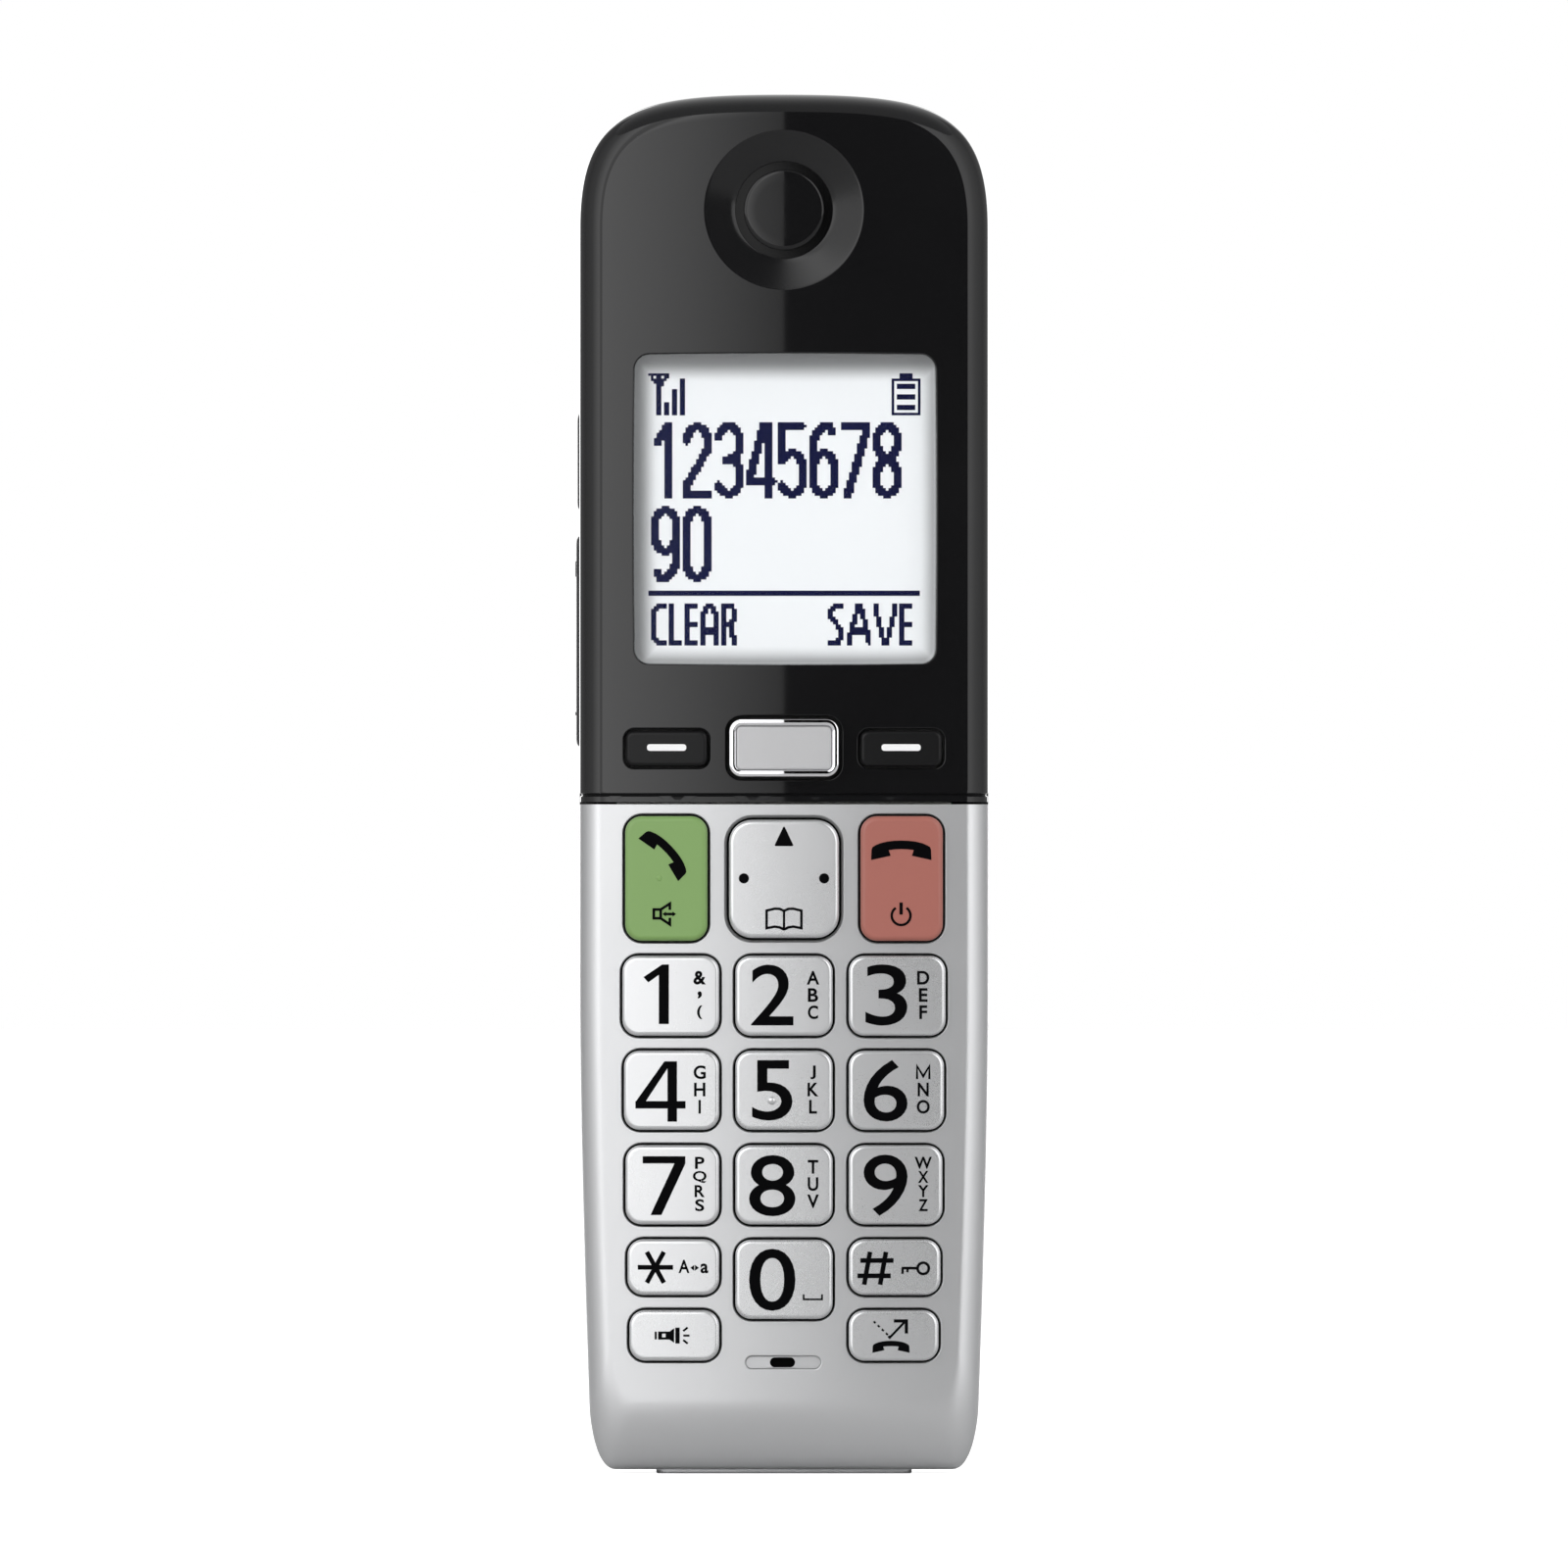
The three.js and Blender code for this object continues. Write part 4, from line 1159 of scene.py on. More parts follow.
# Everything on the display is drawn on one grid of square cells, counted from the lower left of each sign.
displayGrid = {"cell": 0.3358, "plane": -9.6, "thick": 0.03, "numberPen": 3.3, "wordPen": 2.05}
displayDigits = {
    "1": [[(2.4, 21.6), (5.4, 26.4)], [(6.5, 27.5), (6.5, 1.5)]],
    "2": [[(1.5, 22), (2.4, 25.5), (5.5, 27.5), (8.6, 25.5), (9.5, 22), (9.3, 18.5), (1.5, 5), (1.5, 1.5),
           (9.5, 1.5)]],
    "3": [[(1.5, 23.8), (3, 26.6), (5.5, 27.5), (8, 26.6), (9.4, 23.5), (9.4, 18.5), (7.8, 15), (4.4, 14.8)],
          [(7.8, 15), (9.5, 11.5), (9.5, 5.5), (8, 2.5), (5.5, 1.5), (3, 2.5), (1.5, 5)]],
    "4": [[(8.3, 1.5), (8.3, 27.5), (6.6, 27.5), (1.5, 8), (1.5, 6.5), (10, 6.5)]],
    "5": [[(9, 27.5), (1.5, 27.5), (1.5, 14.5)],
          [(3, 16), (5.2, 17.5), (8, 16.5), (9.5, 13), (9.5, 5.5), (8, 2.5), (5.5, 1.5), (3, 2.5), (1.5, 5)]],
    "6": [[(8.8, 25.2), (7.6, 27.2), (5, 27.2), (2.3, 24.5), (1.5, 20), (1.5, 5.5), (3, 2.5), (5.5, 1.5),
           (8, 2.5), (9.5, 5.5), (9.5, 13), (8, 16.5), (5.5, 17.5), (3, 16), (1.7, 13)]],
    "7": [[(1.5, 27.5), (9.6, 27.5), (9.3, 24.5), (2.6, 1.5)]],
    "8": [[(5.5, 15), (2.8, 17), (1.7, 19.5), (1.7, 23.5), (3, 26.6), (5.5, 27.5), (8, 26.6), (9.3, 23.5),
           (9.3, 19.5), (8.2, 17), (5.5, 15), (2.8, 13), (1.5, 10), (1.5, 5.5), (3, 2.5), (5.5, 1.5),
           (8, 2.5), (9.5, 5.5),
           (9.5, 10), (8.2, 13), (5.5, 15)]],
    "0": [[(1.5, 6), (1.5, 23), (3, 26.5), (5.5, 27.5), (8, 26.5), (9.5, 23), (9.5, 6), (8, 2.5), (5.5, 1.5),
           (3, 2.5), (1.5, 6)]],
}
displayDigits["9"] = [[(11 - x, 29 - y) for x, y in path] for path in displayDigits["6"]]
displayLetters = {
    "C": (6, [[(5.3, 15), (3, 15), (1.6, 13.5), (1, 12), (1, 4), (1.6, 2.5), (3, 1), (5.3, 1)]]),
    "L": (5.3, [[(1, 15), (1, 1), (4.6, 1)]]),
    "E": (5.3, [[(4.6, 15), (1, 15), (1, 1), (4.6, 1)], [(1, 8.2), (4, 8.2)]]),
    "A": (7.2, [[(1, 1), (1, 11.5), (2, 14), (3.5, 15), (5, 14), (6, 11.5), (6, 1)], [(1, 5.5), (6, 5.5)]]),
    "R": (6.4, [[(1, 1), (1, 15), (3.6, 15), (5, 13.5), (5, 10.2), (3.6, 8.2), (1, 8.2)],
                [(3.4, 8), (5.2, 1)]]),
    "S": (6.6, [[(5.6, 15), (2.6, 15), (1.2, 13.6), (1.2, 11), (5, 6), (5, 3), (3.6, 1), (1, 1)]]),
    "V": (9, [[(1, 15), (1.4, 11.5), (4, 1.2), (5, 1.2), (7.6, 11.5), (8, 15)]]),
    "wideA": (9.4, [[(1, 1), (1.5, 4.5), (4.2, 14.8), (5.2, 14.8), (7.9, 4.5), (8.4, 1)],
                    [(1.8, 5.5), (7.6, 5.5)]]),
}
displaySigns = {
    "aerial": [([(0.8, 15.3), (7.4, 15.3), (4.1, 10.6), (0.8, 15.3)], 1.3), ([(4, 15), (4, 1)], 2.05)],
    "bars": [(6, 0, 8, 5), (9, 0, 11, 10), (12, 0, 14, 14.5)],
    "battery": [(0, 0, 11, 1), (0, 13, 11, 14), (0, 0, 1, 14), (10, 0, 11, 14), (3, 14, 8, 16),
                (2, 2, 9, 4), (2, 6, 9, 8), (2, 10, 9, 12)],
}
displayRows = {"first": 124.42, "second": 113.75, "words": 105.66, "signs": 135.03, "rule": 112.1}


def strokeCells(path, pen):
    cells = set()
    for (ax, ay), (bx, by) in zip(path, path[1:]):
        for row in range(int(min(ay, by) - pen), int(max(ay, by) + pen) + 1):
            for column in range(int(min(ax, bx) - pen), int(max(ax, bx) + pen) + 1):
                px, py = column + 0.5, row + 0.5
                along = (bx - ax) ** 2 + (by - ay) ** 2
                share = max(0, min(1, ((px - ax) * (bx - ax) + (py - ay) * (by - ay)) / along))
                if (px - ax - share * (bx - ax)) ** 2 + (py - ay - share * (by - ay)) ** 2 <= (pen / 2) ** 2:
                    cells.add((column, row))
    return cells


def blockCells(x0, y0, x1, y1):
    return {(x, y) for x in range(round(x0), round(x1)) for y in range(round(y0), round(y1))}


# Cells of one sign as a thin plate with walls only along its outline.
def inkPlate(cells, x, z, verts, faces):
    size = displayGrid["cell"]
    index = {}

    def corner(column, row, back):
        key = (column, row, back)
        if key not in index:
            index[key] = len(verts)
            y = displayGrid["plane"] + (0.01 if back else -displayGrid["thick"])
            verts.append((x + column * size, y, z + row * size))
        return index[key]

    for column, row in sorted(cells):
        around = [(column, row), (column + 1, row), (column + 1, row + 1), (column, row + 1)]
        faces.append(tuple(corner(*spot, False) for spot in around))
        faces.append(tuple(corner(*spot, True) for spot in reversed(around)))
        beside = [(column, row - 1), (column + 1, row), (column, row + 1), (column - 1, row)]
        for k, other in enumerate(beside):
            if other not in cells:
                a, b = around[k], around[(k + 1) % 4]
                faces.append((corner(*a, False), corner(*a, True), corner(*b, True), corner(*b, False)))


def displayInkPiece():
    verts, faces = [], []
    cell = displayGrid["cell"]

    def number(string, x, z):
        for k, digit in enumerate(string):
            cells = set()
            for path in displayDigits[digit]:
                cells |= strokeCells(path, displayGrid["numberPen"])
            inkPlate(cells, x + k * 12 * cell, z, verts, faces)

    def word(letters, x, z):
        for letter in letters:
            wide, paths = displayLetters[letter]
            cells = set()
            for path in paths:
                cells |= strokeCells(path, displayGrid["wordPen"])
            inkPlate(cells, x, z, verts, faces)
            x += (wide + 0.7) * cell

    number("12345678", -16.92, displayRows["first"])
    number("90", -16.94, displayRows["second"])
    word("CLEAR", -16.94, displayRows["words"])
    word(["S", "wideA", "V", "E"], 5.56, displayRows["words"])
    cells = set()
    for path, pen in displaySigns["aerial"]:
        cells |= strokeCells(path, pen)
    for block in displaySigns["bars"]:
        cells |= blockCells(*block)
    inkPlate(cells, -17.3, displayRows["signs"], verts, faces)
    cells = set()
    for block in displaySigns["battery"]:
        cells |= blockCells(*block)
    inkPlate(cells, 13.7, displayRows["signs"], verts, faces)
    inkPlate(blockCells(0, 0, 103, 2), -17.28, displayRows["rule"] - 0.1, verts, faces)
    return makePiece("lcd_ink", verts, faces, "handset", "displayInk", (), 30)


displayInkPiece()


def paneLoop(inset):
    pane = displayPane
    return bowedLoop(pane["x"], pane["z"], pane["width"] - 2 * inset, pane["height"] - 2 * inset,
                     max(pane["radius"] - inset, 0.3), pane["bow"], 6)


keyPiece("display_window", {**displayPane, "top": 0.02}, displayPane["radius"], "handset",
         "clearPane", displayPane["edge"], ("display_window",), (-10.9, -9.9, 1.2), loopAt=paneLoop)

print("stage: earpiece")


# The cap's face follows the crown of the case, and its collar behind is flat.
def earpieceCap():
    top, wide = case["front"] + earpiece["capDepth"], earpiece["cap"]
    profile = [(0.05, top), (1.2, top), (2.4, top), (3.6, top), (4.6, top), (4.85, top + 0.02),
               (5.02, top + 0.08), (5.12, top + 0.18), (wide, top + 0.35), (wide, flange["front"]),
               (earpiece["collar"], flange["front"]), (earpiece["collar"], flange["back"])]
    rings = [[(x, y + (crown(x) if y < earpiece["flatBehind"] else 0), z)
              for x, z in roundLoop(0, earpiece["z"], radius, 72)] for radius, y in profile]
    return makePiece("earpiece_cap", joined(rings), loftFaces(rings), "handset", "glossBlack",
                     ("earpiece_cap",), 40)


earpieceCap()

print("stage: rear cover")

rear = {
    "side": 6, "end": 5, "depth": 9, "middle": 88, "crown": 420, "seam": 87.7, "step": 88, "deckFront": 10.2,
    "deckBack": 11.8, "coverFront": 12.1, "landInset": 0.6, "landBack": 12.05, "stopThick": 0.22,
    "chamfer": 0.3, "pillar": 3.2, "boreRadius": 2.9, "shankRadius": 1.4,
}
reach = {"side": 60, "under": -9, "back": 40, "far": 200}  # how far the cutting blocks go past the case
contactSlot = {"x": 11.5, "half": 2.2, "front": 2.0, "back": 7.0, "low": -1, "high": 4}
torchSlot = {"half": 3.5, "front": 1.3, "back": 4.7, "low": 172}
bay = {"halfWidth": 11.8, "front": -1.5, "bottom": 21.5, "top": 74.5, "wall": 1.4}
screwPlaces = [(-15, 9.6, 8.5), (15, 9.6, 8.5), (-15.5, 12.2, 160), (15.5, 12.2, 160)]
sideKeys = {
    "volume_key": {"z": 106.25, "length": 27, "rise": 0.45, "slack": 0.8},
    "boost_key": {"z": 129.2, "length": 12.6, "rise": 0.3, "slack": 0.3},
}
sideKey = {"y": 2.8, "width": 4.4, "radius": 1.2, "gap": 0.3}


def backCrown(x):
    return x * x / (2 * rear["crown"])


# The back half of the case as a closed block, moved in by inset.
def backBlock(name, inset, start):
    right = lowerHalf(84) + upperHalf(86.5)
    outline = right + mirrored(right)[1:-1]
    full = case["height"] - rear["middle"], rear["middle"] - case["foot"]

    def ring(share, run):
        across = (case["halfWidth"] - inset - rear["side"] * share) / case["halfWidth"]
        up = (full[0] - inset - rear["end"] * share) / full[0]
        down = (full[1] - inset - rear["end"] * share) / full[1]
        edge = (case["halfWidth"] - inset - rear["side"]) / case["halfWidth"]
        points = []
        for x, z in outline:
            drop = backCrown(x * edge)
            y = case["back"] - inset - drop - (rear["depth"] - drop) * run
            stretch = up if z > rear["middle"] else down
            points.append((x * across, y, rear["middle"] + (z - rear["middle"]) * stretch))
        return points

    turns = [math.pi / 2 * k / 12 for k in range(13)]
    rings = [ring(1 - math.sin(turn), 1 - math.cos(turn)) for turn in reversed(turns)]
    rings.insert(0, [(x, start, z) for x, _, z in rings[0]])
    verts = joined(rings[:-1])
    last = rings[-1]
    points, cap = fillArea([(x, z) for x, _, z in last], [], *gridStep["back"])
    base = len(verts)
    verts += [(x, case["back"] - inset - backCrown(x), z) for x, z in points]
    faces = loftFaces(rings[:-1], False)
    count = len(last)
    lower = [base - count + i for i in range(count)]
    faces += bands(lower, [base + i for i in range(count)], True)
    faces += [tuple(base + i for i in face) for face in cap]
    return rawObject(name, verts, faces)


def loftTool(rings):
    return rawObject("tool", joined(rings), loftFaces(rings))


def prism(profile, x0=-reach["side"], x1=reach["side"]):
    return loftTool([[(x, y, z) for y, z in profile] for x in (x0, x1)])


def block(x0, x1, y0, y1, z0, z1):
    return prism([(y0, z0), (y1, z0), (y1, z1), (y0, z1)], x0, x1)


def wideBlock(y0, y1, z0, z1):
    return block(-reach["side"], reach["side"], y0, y1, z0, z1)


# A bore or slot seen from the back, given as rings of a flat loop at depths.
def stackTool(loops):
    return loftTool([[(x, y, z) for x, z in loop] for loop, y in loops])


# Heights of a row of like shapes, spread evenly about a middle.
def evenRow(middle, count, pitch):
    return [middle + (k - (count - 1) / 2) * pitch for k in range(count)]


def discTool(x, z, radius, y0, y1, steps=40):
    return stackTool([(roundLoop(x, z, radius, steps), y0), (roundLoop(x, z, radius, steps), y1)])


# The same seen from the side.
def sideRings(loops):
    return [[(x, y, z) for y, z in loop] for loop, x in loops]


def sideLoop(key, grow, straight=1):
    return roundedLoop(sideKey["y"], key["z"], sideKey["width"] + 2 * grow, key["length"] + 2 * grow,
                       max(sideKey["radius"] + grow, 0.3), 8, straight)


# Joins, cuts or trims a block with other blocks, and leaves only the result.
def shaped(base, steps):
    for tool, operation in steps:
        change = base.modifiers.new("shape", "BOOLEAN")
        change.solver = "MANIFOLD"
        change.operation = operation
        change.object = tool
    bpy.context.view_layer.update()
    result = bpy.data.meshes.new_from_object(base.evaluated_get(bpy.context.evaluated_depsgraph_get()))
    base.modifiers.clear()
    base.data = result
    for tool, _ in steps:
        bpy.data.objects.remove(tool)
    return base


# Geometry Nodes: copies of a shape at the points of a mesh, each turned about Y by its own amount.
def copiesTree():
    tree = bpy.data.node_groups.new("copiesAtPoints", "GeometryNodeTree")
    face = tree.interface
    face.new_socket(name="Geometry", in_out="INPUT", socket_type="NodeSocketGeometry")
    face.new_socket(name="Shape", in_out="INPUT", socket_type="NodeSocketObject")
    face.new_socket(name="Turn", in_out="INPUT", socket_type="NodeSocketFloat")
    face.new_socket(name="Seed", in_out="INPUT", socket_type="NodeSocketInt")
    face.new_socket(name="Material", in_out="INPUT", socket_type="NodeSocketMaterial")
    face.new_socket(name="Geometry", in_out="OUTPUT", socket_type="NodeSocketGeometry")
    entry, leave = tree.nodes.new("NodeGroupInput"), tree.nodes.new("NodeGroupOutput")
    shape = tree.nodes.new("GeometryNodeObjectInfo")
    chance = tree.nodes.new("FunctionNodeRandomValue")
    turn = tree.nodes.new("ShaderNodeCombineXYZ")
    copies = tree.nodes.new("GeometryNodeInstanceOnPoints")
    real = tree.nodes.new("GeometryNodeRealizeInstances")
    paint = tree.nodes.new("GeometryNodeSetMaterial")
    link = tree.links.new
    link(entry.outputs["Shape"], shape.inputs["Object"])
    chance.inputs[2].default_value = 0
    link(entry.outputs["Turn"], chance.inputs[3])
    link(entry.outputs["Seed"], chance.inputs["Seed"])
    link(chance.outputs[1], turn.inputs["Y"])
    link(entry.outputs["Geometry"], copies.inputs["Points"])
    link(shape.outputs["Geometry"], copies.inputs["Instance"])
    link(turn.outputs[0], copies.inputs["Rotation"])
    link(copies.outputs[0], real.inputs[0])
    link(real.outputs[0], paint.inputs["Geometry"])
    link(entry.outputs["Material"], paint.inputs["Material"])
    link(paint.outputs[0], leave.inputs[0])
    return tree


copiesAtPoints = copiesTree()


def copiesOf(name, shape, places, turn=0.0, seed=3, material="steel"):
    mesh = bpy.data.meshes.new(name)
    mesh.from_pydata([Vector(place) * mm for place in places], [], [])
    holder = bpy.data.objects.new(name, mesh)
    bpy.context.scene.collection.objects.link(holder)
    change = holder.modifiers.new("copies", "NODES")
    change.node_group = copiesAtPoints
    values = {"Shape": shape, "Turn": turn, "Seed": seed, "Material": finishes[material]}
    for item in copiesAtPoints.interface.items_tree:
        if item.in_out == "INPUT" and item.name in values:
            change[item.identifier] = values[item.name]
    bpy.context.view_layer.update()
    result = bpy.data.meshes.new_from_object(holder.evaluated_get(bpy.context.evaluated_depsgraph_get()))
    holder.modifiers.clear()
    holder.data = result
    bpy.data.objects.remove(shape)
    return holder


grille = {"z": 134, "slots": 7, "pitch": 2.6, "width": 17, "height": 1.2}


def grilleTool():
    def slotLoop(grow):
        return roundedLoop(0, 0, grille["width"] + 2 * grow, grille["height"] + 2 * grow,
                           grille["height"] / 2 + grow - 0.02, 8, 4)

    mouth = case["back"] - 0.2
    slot = stackTool([(slotLoop(0), 12), (slotLoop(0), mouth - 0.15), (slotLoop(0.12), mouth),
                      (slotLoop(0.55), mouth + 0.4)])
    return copiesOf("tool", slot, [(0, 0, z) for z in evenRow(grille["z"], grille["slots"], grille["pitch"])])


def rearCover():
    body = backBlock("rear_cover", 0, case["rearStart"])
    step, under, past = rear["step"], reach["under"], reach["back"]
    steps = [(backBlock("tool", case["wall"], -5), "DIFFERENCE")]

    # the part of the case's own shape that lies within a block
    def sliceOf(inset, y0, y1, z0, z1):
        whole = backBlock("tool", inset, case["rearStart"])
        return shaped(whole, [(wideBlock(y0, y1, z0, z1), "INTERSECT")])

    deck = sliceOf(0, rear["deckFront"], rear["deckBack"], under, step + case["wall"])
    ledge = sliceOf(0, rear["deckFront"], past, step, step + case["wall"])
    land = sliceOf(rear["landInset"], rear["deckFront"] + 0.4, rear["landBack"], under, step + 0.5)
    stop = sliceOf(rear["landInset"], rear["deckBack"], past, step - rear["stopThick"], step + 0.5)
    steps += [(deck, "UNION"), (ledge, "UNION")]
    grow = bay["wall"]
    steps.append((block(-bay["halfWidth"] - grow, bay["halfWidth"] + grow, bay["front"] - grow,
                        rear["deckFront"] + 0.5, bay["bottom"] - grow, bay["top"] + grow), "UNION"))
    for x, seat, z in screwPlaces:
        steps.append((discTool(x, z, rear["pillar"], case["rearStart"], seat + 1.5), "UNION"))
    backEdge = case["back"] - rear["chamfer"]
    coverRoom = prism([(rear["deckBack"], under), (past, under), (past, step + past - backEdge),
                       (backEdge, step), (rear["deckBack"], step)])
    steps.append((coverRoom, "DIFFERENCE"))
    steps += [(land, "UNION"), (stop, "UNION")]
    steps.append((block(-bay["halfWidth"], bay["halfWidth"], bay["front"], reach["far"], bay["bottom"],
                        bay["top"]), "DIFFERENCE"))
    for x, seat, z in screwPlaces:
        surface = case["back"] - backCrown(x)
        bore = rear["boreRadius"]
        steps.append((discTool(x, z, rear["shankRadius"], -30, 30, 24), "DIFFERENCE"))
        mouth = [(bore, seat), (bore, surface - 0.3), (bore + 0.9, surface + 0.6)]
        steps.append((stackTool([(roundLoop(x, z, radius, 40), y) for radius, y in mouth]), "DIFFERENCE"))
    for side in (-1, 1):
        x, half = side * contactSlot["x"], contactSlot["half"]
        steps.append((block(x - half, x + half, contactSlot["front"], contactSlot["back"], contactSlot["low"],
                            contactSlot["high"]), "DIFFERENCE"))
    steps.append((block(-torchSlot["half"], torchSlot["half"], torchSlot["front"], torchSlot["back"],
                        torchSlot["low"], reach["far"]), "DIFFERENCE"))
    for key in sideKeys.values():
        surface, gap = -case["halfWidth"], sideKey["gap"]
        mouth = [(0.65, surface - 0.35), (gap, surface + 0.12), (gap, -20)]
        steps.append((loftTool(sideRings([(sideLoop(key, grown), x) for grown, x in mouth])), "DIFFERENCE"))
    steps.append((grilleTool(), "DIFFERENCE"))
    shaped(body, steps)
    return finishPiece(body, "handset", "satinBlack", ("rear_cover",), 28)


caseLip = {"outer": 0.5, "inner": 1.5, "front": -1.02, "back": -0.68}


# A lip inside the line where the front and rear covers meet, so that no light shows through.
def seamLip():
    right = lowerHalf(84) + upperHalf(86.5)
    outline = right + mirrored(right)[1:-1]
    verts, faces = [], []
    count = len(outline)
    for inset, y in (("outer", "front"), ("inner", "front"), ("inner", "back"), ("outer", "back")):
        verts += [(x, caseLip[y], z) for x, z in outlineAt(outline, caseLip[inset], 0)]
    rings = [list(range(k * count, (k + 1) * count)) for k in range(4)]
    for a, b in zip(rings, rings[1:] + rings[:1]):
        faces += bands(a, b, True)
    return makePiece("case_lip", verts, faces, "handset", "satinBlack", (), 30)


rearCover()
seamLip()
footStripPiece("foot_strip_rear", 4.15, 9.7, "satinBlack")

print("stage: battery cover")

thumb = {"z": 79, "width": 10, "height": 5, "depth": 0.8, "ribs": 3, "pitch": 1.5, "ribWidth": 8}
lidHollow = {"half": 19, "front": 0, "back": 13.5, "low": 9, "high": 82}


def batteryCover():
    body = backBlock("battery_cover", 0, case["rearStart"])
    backEdge = case["back"] - rear["chamfer"]
    near, seam, under, past = rear["coverFront"], rear["seam"], reach["under"], reach["back"]
    keep = prism([(near, under), (past, under), (past, seam - past + backEdge), (backEdge, seam),
                  (near, seam)])
    surface = case["back"]

    def scoop(grow, depth):
        return roundedLoop(0, thumb["z"], thumb["width"] + 2 * grow, thumb["height"] + 2 * grow,
                           thumb["height"] / 2 + grow - 0.05, 12, 4), surface - depth

    hollow = block(-lidHollow["half"], lidHollow["half"], lidHollow["front"], lidHollow["back"],
                   lidHollow["low"], lidHollow["high"])
    steps = [(keep, "INTERSECT"), (hollow, "DIFFERENCE"),
             (stackTool([scoop(0, thumb["depth"]), scoop(0.5, 0.72), scoop(1.0, 0.52), scoop(1.5, 0.22),
                         scoop(1.85, 0.0), scoop(2.5, -0.5)]), "DIFFERENCE")]
    shaped(body, steps)
    return finishPiece(body, "battery_cover", "satinBlack", ("battery_cover",), 28)


def thumbRibs():
    base = case["back"] - thumb["depth"]
    arcSteps = [math.pi * k / 8 for k in range(9)]
    profile = [(0.32 * math.sin(a), -0.34 * math.cos(a)) for a in arcSteps]
    half = thumb["ribWidth"] / 2
    ends = [(-half - 0.25, 0.3), (-half, 0.9), (-half + 0.2, 1), (half - 0.2, 1), (half, 0.9),
            (half + 0.25, 0.3)]
    rib = loftTool([[(x, y * size - 0.02, z * size) for y, z in profile] for x, size in ends])
    places = [(0, base, z) for z in evenRow(thumb["z"], thumb["ribs"], thumb["pitch"])]
    return finishPiece(copiesOf("battery_cover_ribs", rib, places, material="satinBlack"), "battery_cover",
                       "satinBlack", (), 50)


batteryCover()
thumbRibs()

print("stage: screws and side keys")

screwShape = {
    "head": 2.6, "headLow": 0.3, "headHigh": 1.9, "shank": 1.1, "tip": -6, "recess": 0.75,
    "cross": (2.7, 0.62),
}


# One cross-head screw along Y with its seat at the origin.
def screwPiece():
    wide, low, high = screwShape["head"], screwShape["headLow"], screwShape["headHigh"]
    head = [(wide - 0.1, low), (wide, low + 0.1), (wide, high - 0.7), (wide * 0.93, high - 0.4),
            (wide * 0.75, high - 0.15), (wide * 0.45, high - 0.03), (0.15, high)]
    shape = discTool(0, 0, screwShape["shank"], screwShape["tip"], low + 0.2, 24)
    tools = [(stackTool([(roundLoop(0, 0, radius, 40), y) for radius, y in head]), "UNION")]
    for length, breadth in (screwShape["cross"], screwShape["cross"][::-1]):
        shallow = roundedLoop(0, 0, length * 0.62, breadth * 0.62, 0.12, 3)
        deep = roundedLoop(0, 0, length, breadth, 0.12, 3)
        tools.append((stackTool([(shallow, high - screwShape["recess"]), (deep, high + 0.1)]), "DIFFERENCE"))
    return shaped(shape, tools)


finishPiece(copiesOf("case_screws", screwPiece(), screwPlaces, 1.5, 5), "handset", "steel",
            ("screw_bottom_left", "screw_bottom_right", "screw_top_left", "screw_top_right"), 30)


def sideKeyPiece(name):
    key = sideKeys[name]
    face = -case["halfWidth"] - key["rise"]
    inner = -case["halfWidth"] + case["wall"] + key["slack"]
    profile = [(-1.1, face), (-0.7, face + 0.03), (-0.4, face + 0.1), (-0.16, face + 0.24),
               (-0.03, face + 0.44), (0, face + 0.62), (0, inner), (flange["wide"], inner),
               (flange["wide"], inner + 0.8)]
    rings = sideRings([(sideLoop(key, grow, 8), x) for grow, x in profile])
    return makePiece(name, joined(rings), loftFaces(rings), name, "satinBlack", (name,), 40)


# A raised bar on the volume key.
def sideMark(name, z, wide, tall):
    face = -case["halfWidth"] - sideKeys["volume_key"]["rise"]
    rings = sideRings([(roundedLoop(sideKey["y"], z, wide - 2 * k, tall - 2 * k, 0.12, 3), face + dx)
                       for k, dx in ((0.06, -0.12), (0, -0.06), (0, 0.02))])
    return makePiece(name, joined(rings), loftFaces(rings), "volume_key", "satinBlack", (), 40)


for name in sideKeys:
    sideKeyPiece(name)
sideMark("volume_key_plus", 115.5, 2.0, 0.45)
sideMark("volume_key_plus_upright", 115.5, 0.45, 2.0)
sideMark("volume_key_minus", 97, 2.0, 0.45)

print("stage: inner parts")

innerFinishes = {
    "lcd_panel": "displayPaper", "backlight": "whitePlastic", "earpiece_speaker": "steel",
    "loudspeaker": "darkVoid", "microphone": "darkVoid", "keypad_mat": "silicone",
    "main_board": "boardGreen", "antenna": "steel",
    "battery_cell_left": "cellWrap", "battery_cell_right": "cellWrap", "battery_spring_plate": "steel",
    "battery_contact_plate": "steel", "charge_contact_left": "goldPlate", "charge_contact_right": "goldPlate",
    "torch_lens": "clearLens", "torch_led": "whitePlastic", "navigator_pivot": "darkVoid",
}
for node, material in innerFinishes.items():
    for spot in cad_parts[node].material_slots:
        spot.material = finishes[material]

print("stage: floor and light")

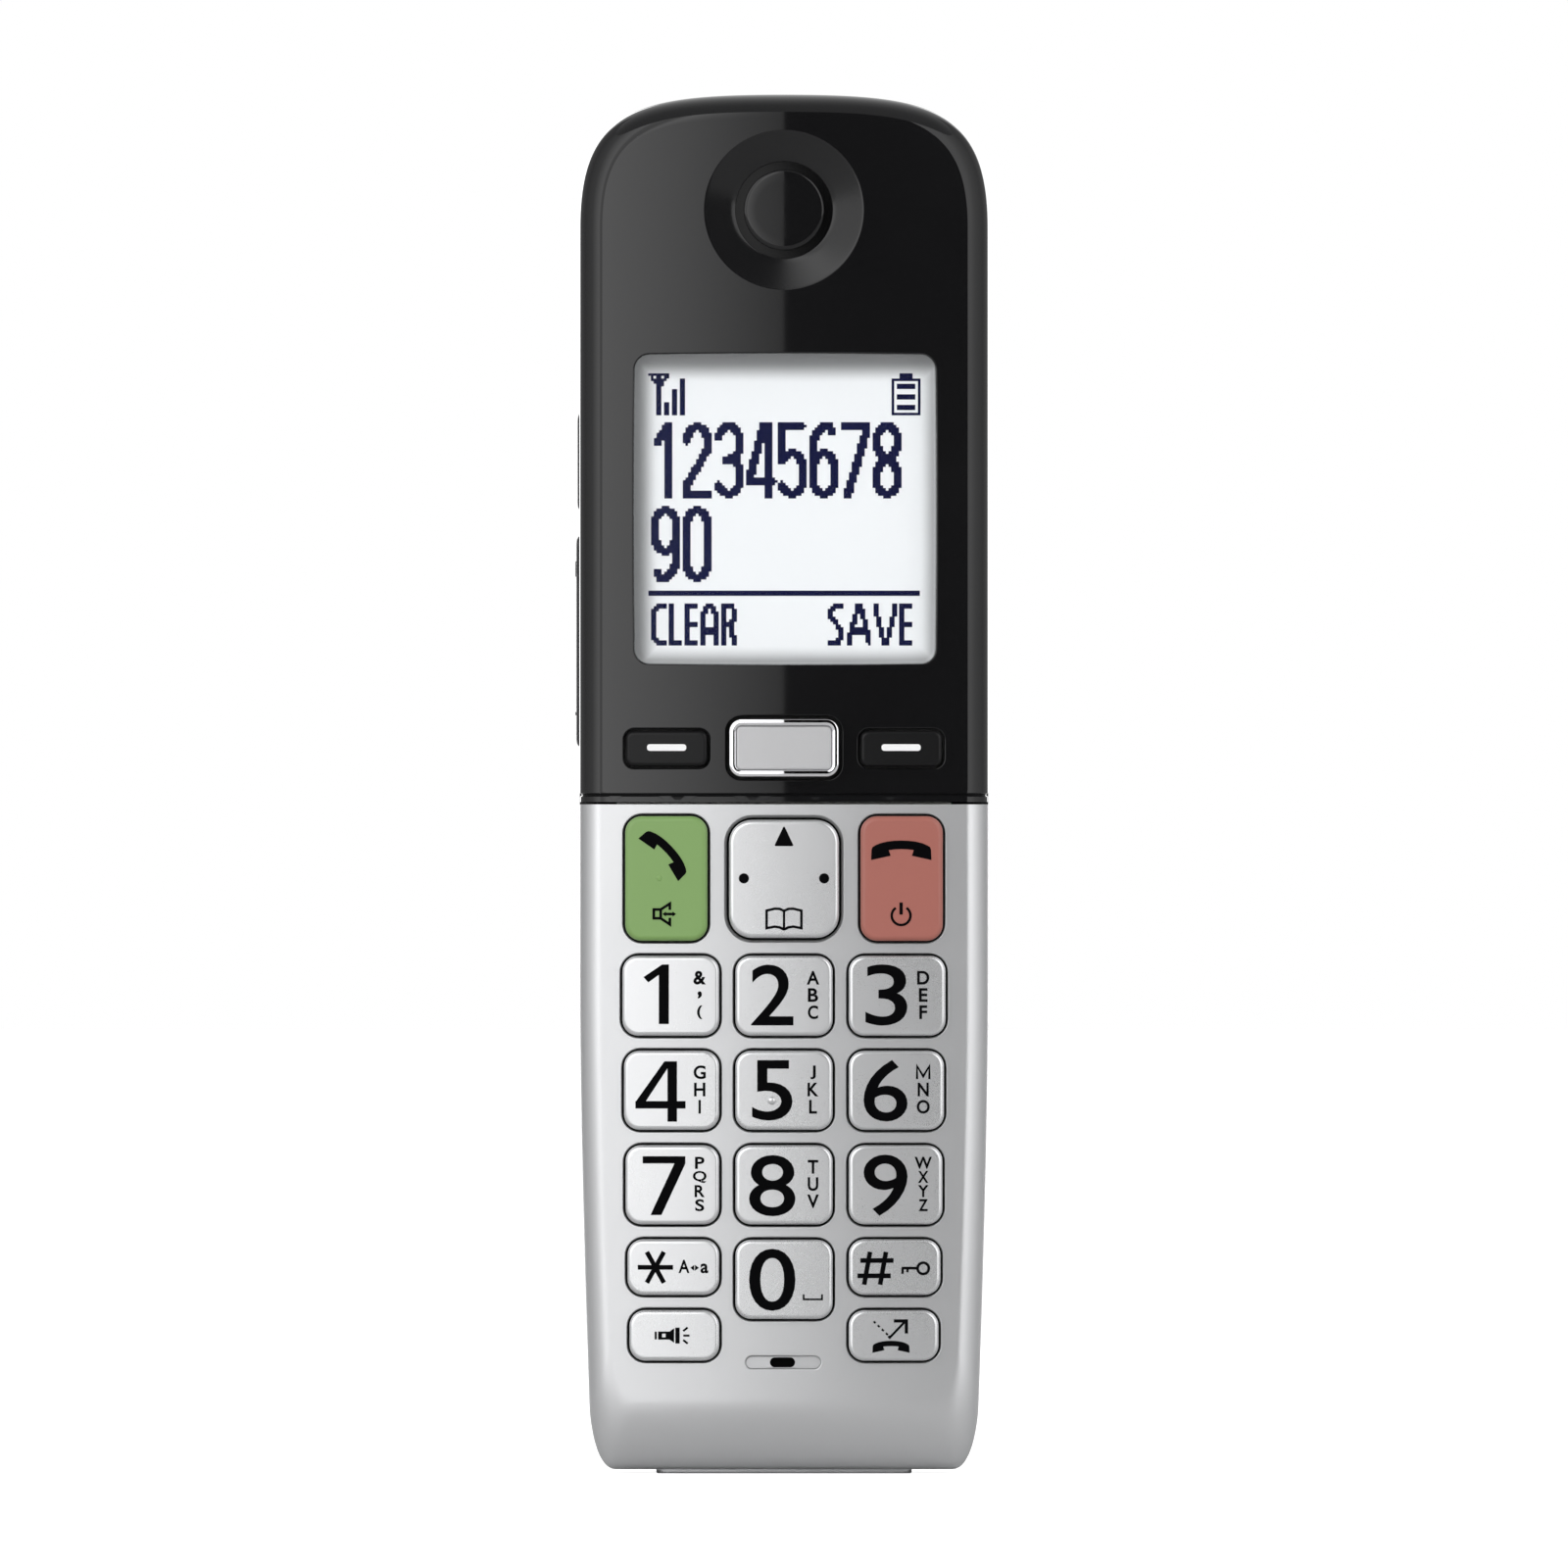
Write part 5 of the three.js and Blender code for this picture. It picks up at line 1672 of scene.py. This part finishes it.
# Light by bearing, in degrees to the right of straight ahead, on a tall curved screen round the phone.
studio = {
    "backdrop": 1.0, "around": 0.5, "behind": 0.9, "floor": 9000, "floorTone": 0.58, "floorGlow": 0.9,
    "distance": 2200, "low": -480, "high": 2300,
    "left": [(-150, 0.25), (-110, 0.4), (-70, 1.1), (-44, 2.3), (-32, 2.7), (-26, 1.8), (-17, 1.6),
             (-12, 3.0), (-11, 3.0), (-6, 2.1), (-2, 1.25), (0, 0.85)],
    "right": [(26, 2.0), (45, 2.0), (70, 1.3), (110, 0.5), (150, 0.3)],
    "gap": [(0, 0.0), (26, 0.0)],
    "rearLights": [("rearLeft", -330, 1250, 260, 2.4), ("rearRight", 330, 1250, 260, 1.6)],
    "rearSize": (0.35, 0.9),
}


# The camera sees a white backdrop, and the phone is lit and mirrored by a dimmer room.
def studioWorld():
    world = bpy.data.worlds.new("studio")
    bpy.context.scene.world = world
    world.use_nodes = True
    tree = world.node_tree
    backdrop = tree.nodes["Background"]
    backdrop.inputs["Color"].default_value = (1, 1, 1, 1)
    ray = addNode(tree, "ShaderNodeLightPath")
    toward = addNode(tree, "ShaderNodeSeparateXYZ")
    tree.links.new(addNode(tree, "ShaderNodeTexCoord").outputs["Generated"], toward.inputs[0])
    room = addNode(tree, "ShaderNodeMapRange")
    room.inputs["From Min"].default_value = 0
    room.inputs["To Min"].default_value = studio["around"]
    room.inputs["To Max"].default_value = studio["behind"]
    tree.links.new(toward.outputs["Y"], room.inputs["Value"])
    level = addNode(tree, "ShaderNodeMapRange")
    level.inputs["To Max"].default_value = studio["backdrop"]
    tree.links.new(ray.outputs["Is Camera Ray"], level.inputs["Value"])
    tree.links.new(room.outputs[0], level.inputs["To Min"])
    tree.links.new(level.outputs[0], backdrop.inputs["Strength"])


def stagePiece(name, verts, faces, material):
    mesh = bpy.data.meshes.new(name)
    mesh.from_pydata([Vector(v) * mm for v in verts], [], faces)
    mesh.materials.append(material)
    piece = bpy.data.objects.new(name, mesh)
    bpy.context.scene.collection.objects.link(piece)
    return piece


def floorFinish():
    material = moulded("paleFloor", (studio["floorTone"],) * 3, 0.7, 3, 0.02, 0.05, 0.05)
    shader = material.node_tree.nodes["Principled BSDF"]
    shader.inputs["Emission Color"].default_value = (1, 1, 1, 1)
    tree = material.node_tree
    ray = addNode(tree, "ShaderNodeLightPath")
    tree.links.new(addMath(tree, "MULTIPLY", ray.outputs["Is Camera Ray"], studio["floorGlow"]),
                   shader.inputs["Emission Strength"])
    return material


# The screen's brightness is kept on its points as an attribute.
def glowFinish():
    material = bpy.data.materials.new("litScreen")
    material.use_nodes = True
    tree = material.node_tree
    tree.nodes.remove(tree.nodes["Principled BSDF"])
    glow = addNode(tree, "ShaderNodeEmission")
    level = addNode(tree, "ShaderNodeAttribute", attribute_name="glow")
    tree.links.new(level.outputs["Fac"], glow.inputs["Strength"])
    tree.links.new(glow.outputs[0], tree.nodes["Material Output"].inputs["Surface"])
    return material


def screen(name, levels, material):
    bearings = []
    for (first, a), (last, b) in zip(levels, levels[1:]):
        steps = max(1, round((last - first) / 2))
        bearings += [(first + (last - first) * k / steps, a + (b - a) * k / steps) for k in range(steps)]
    bearings.append(levels[-1])
    verts = []
    for degrees, _ in bearings:
        turn = math.radians(degrees)
        x, y = math.sin(turn) * studio["distance"], -math.cos(turn) * studio["distance"]
        verts += [(x, y, studio["low"]), (x, y, studio["high"])]
    strips = [(2 * k, 2 * k + 2, 2 * k + 3, 2 * k + 1) for k in range(len(bearings) - 1)]
    board = stagePiece(name, verts, strips, material)
    glow = board.data.attributes.new("glow", "FLOAT", "POINT")
    glow.data.foreach_set("value", [level for _, level in bearings for _ in range(2)])
    board.visible_camera = False
    board.visible_shadow = False


studioWorld()
edge = studio["floor"]
stagePiece("floor", [(-edge, -edge, 0), (edge, -edge, 0), (edge, edge, 0), (-edge, edge, 0)], [(0, 1, 2, 3)],
           floorFinish())
litScreen = glowFinish()
for side in ("left", "gap", "right"):
    screen(side + "Screen", studio[side], litScreen)

# Soft lights behind the phone, which show the shape of its back.
for name, x, y, z, power in studio["rearLights"]:
    lamp = bpy.data.objects.new(name, bpy.data.lights.new(name, "AREA"))
    lamp.data.shape = "RECTANGLE"
    lamp.data.size, lamp.data.size_y = studio["rearSize"]
    lamp.data.energy = power
    lamp.location = Vector((x, y, z)) * mm
    aim = Vector((0, 0, viewSetup["height"])) * mm - lamp.location
    lamp.rotation_euler = aim.to_track_quat("-Z", "Y").to_euler()
    lamp.visible_camera = False
    bpy.context.scene.collection.objects.link(lamp)
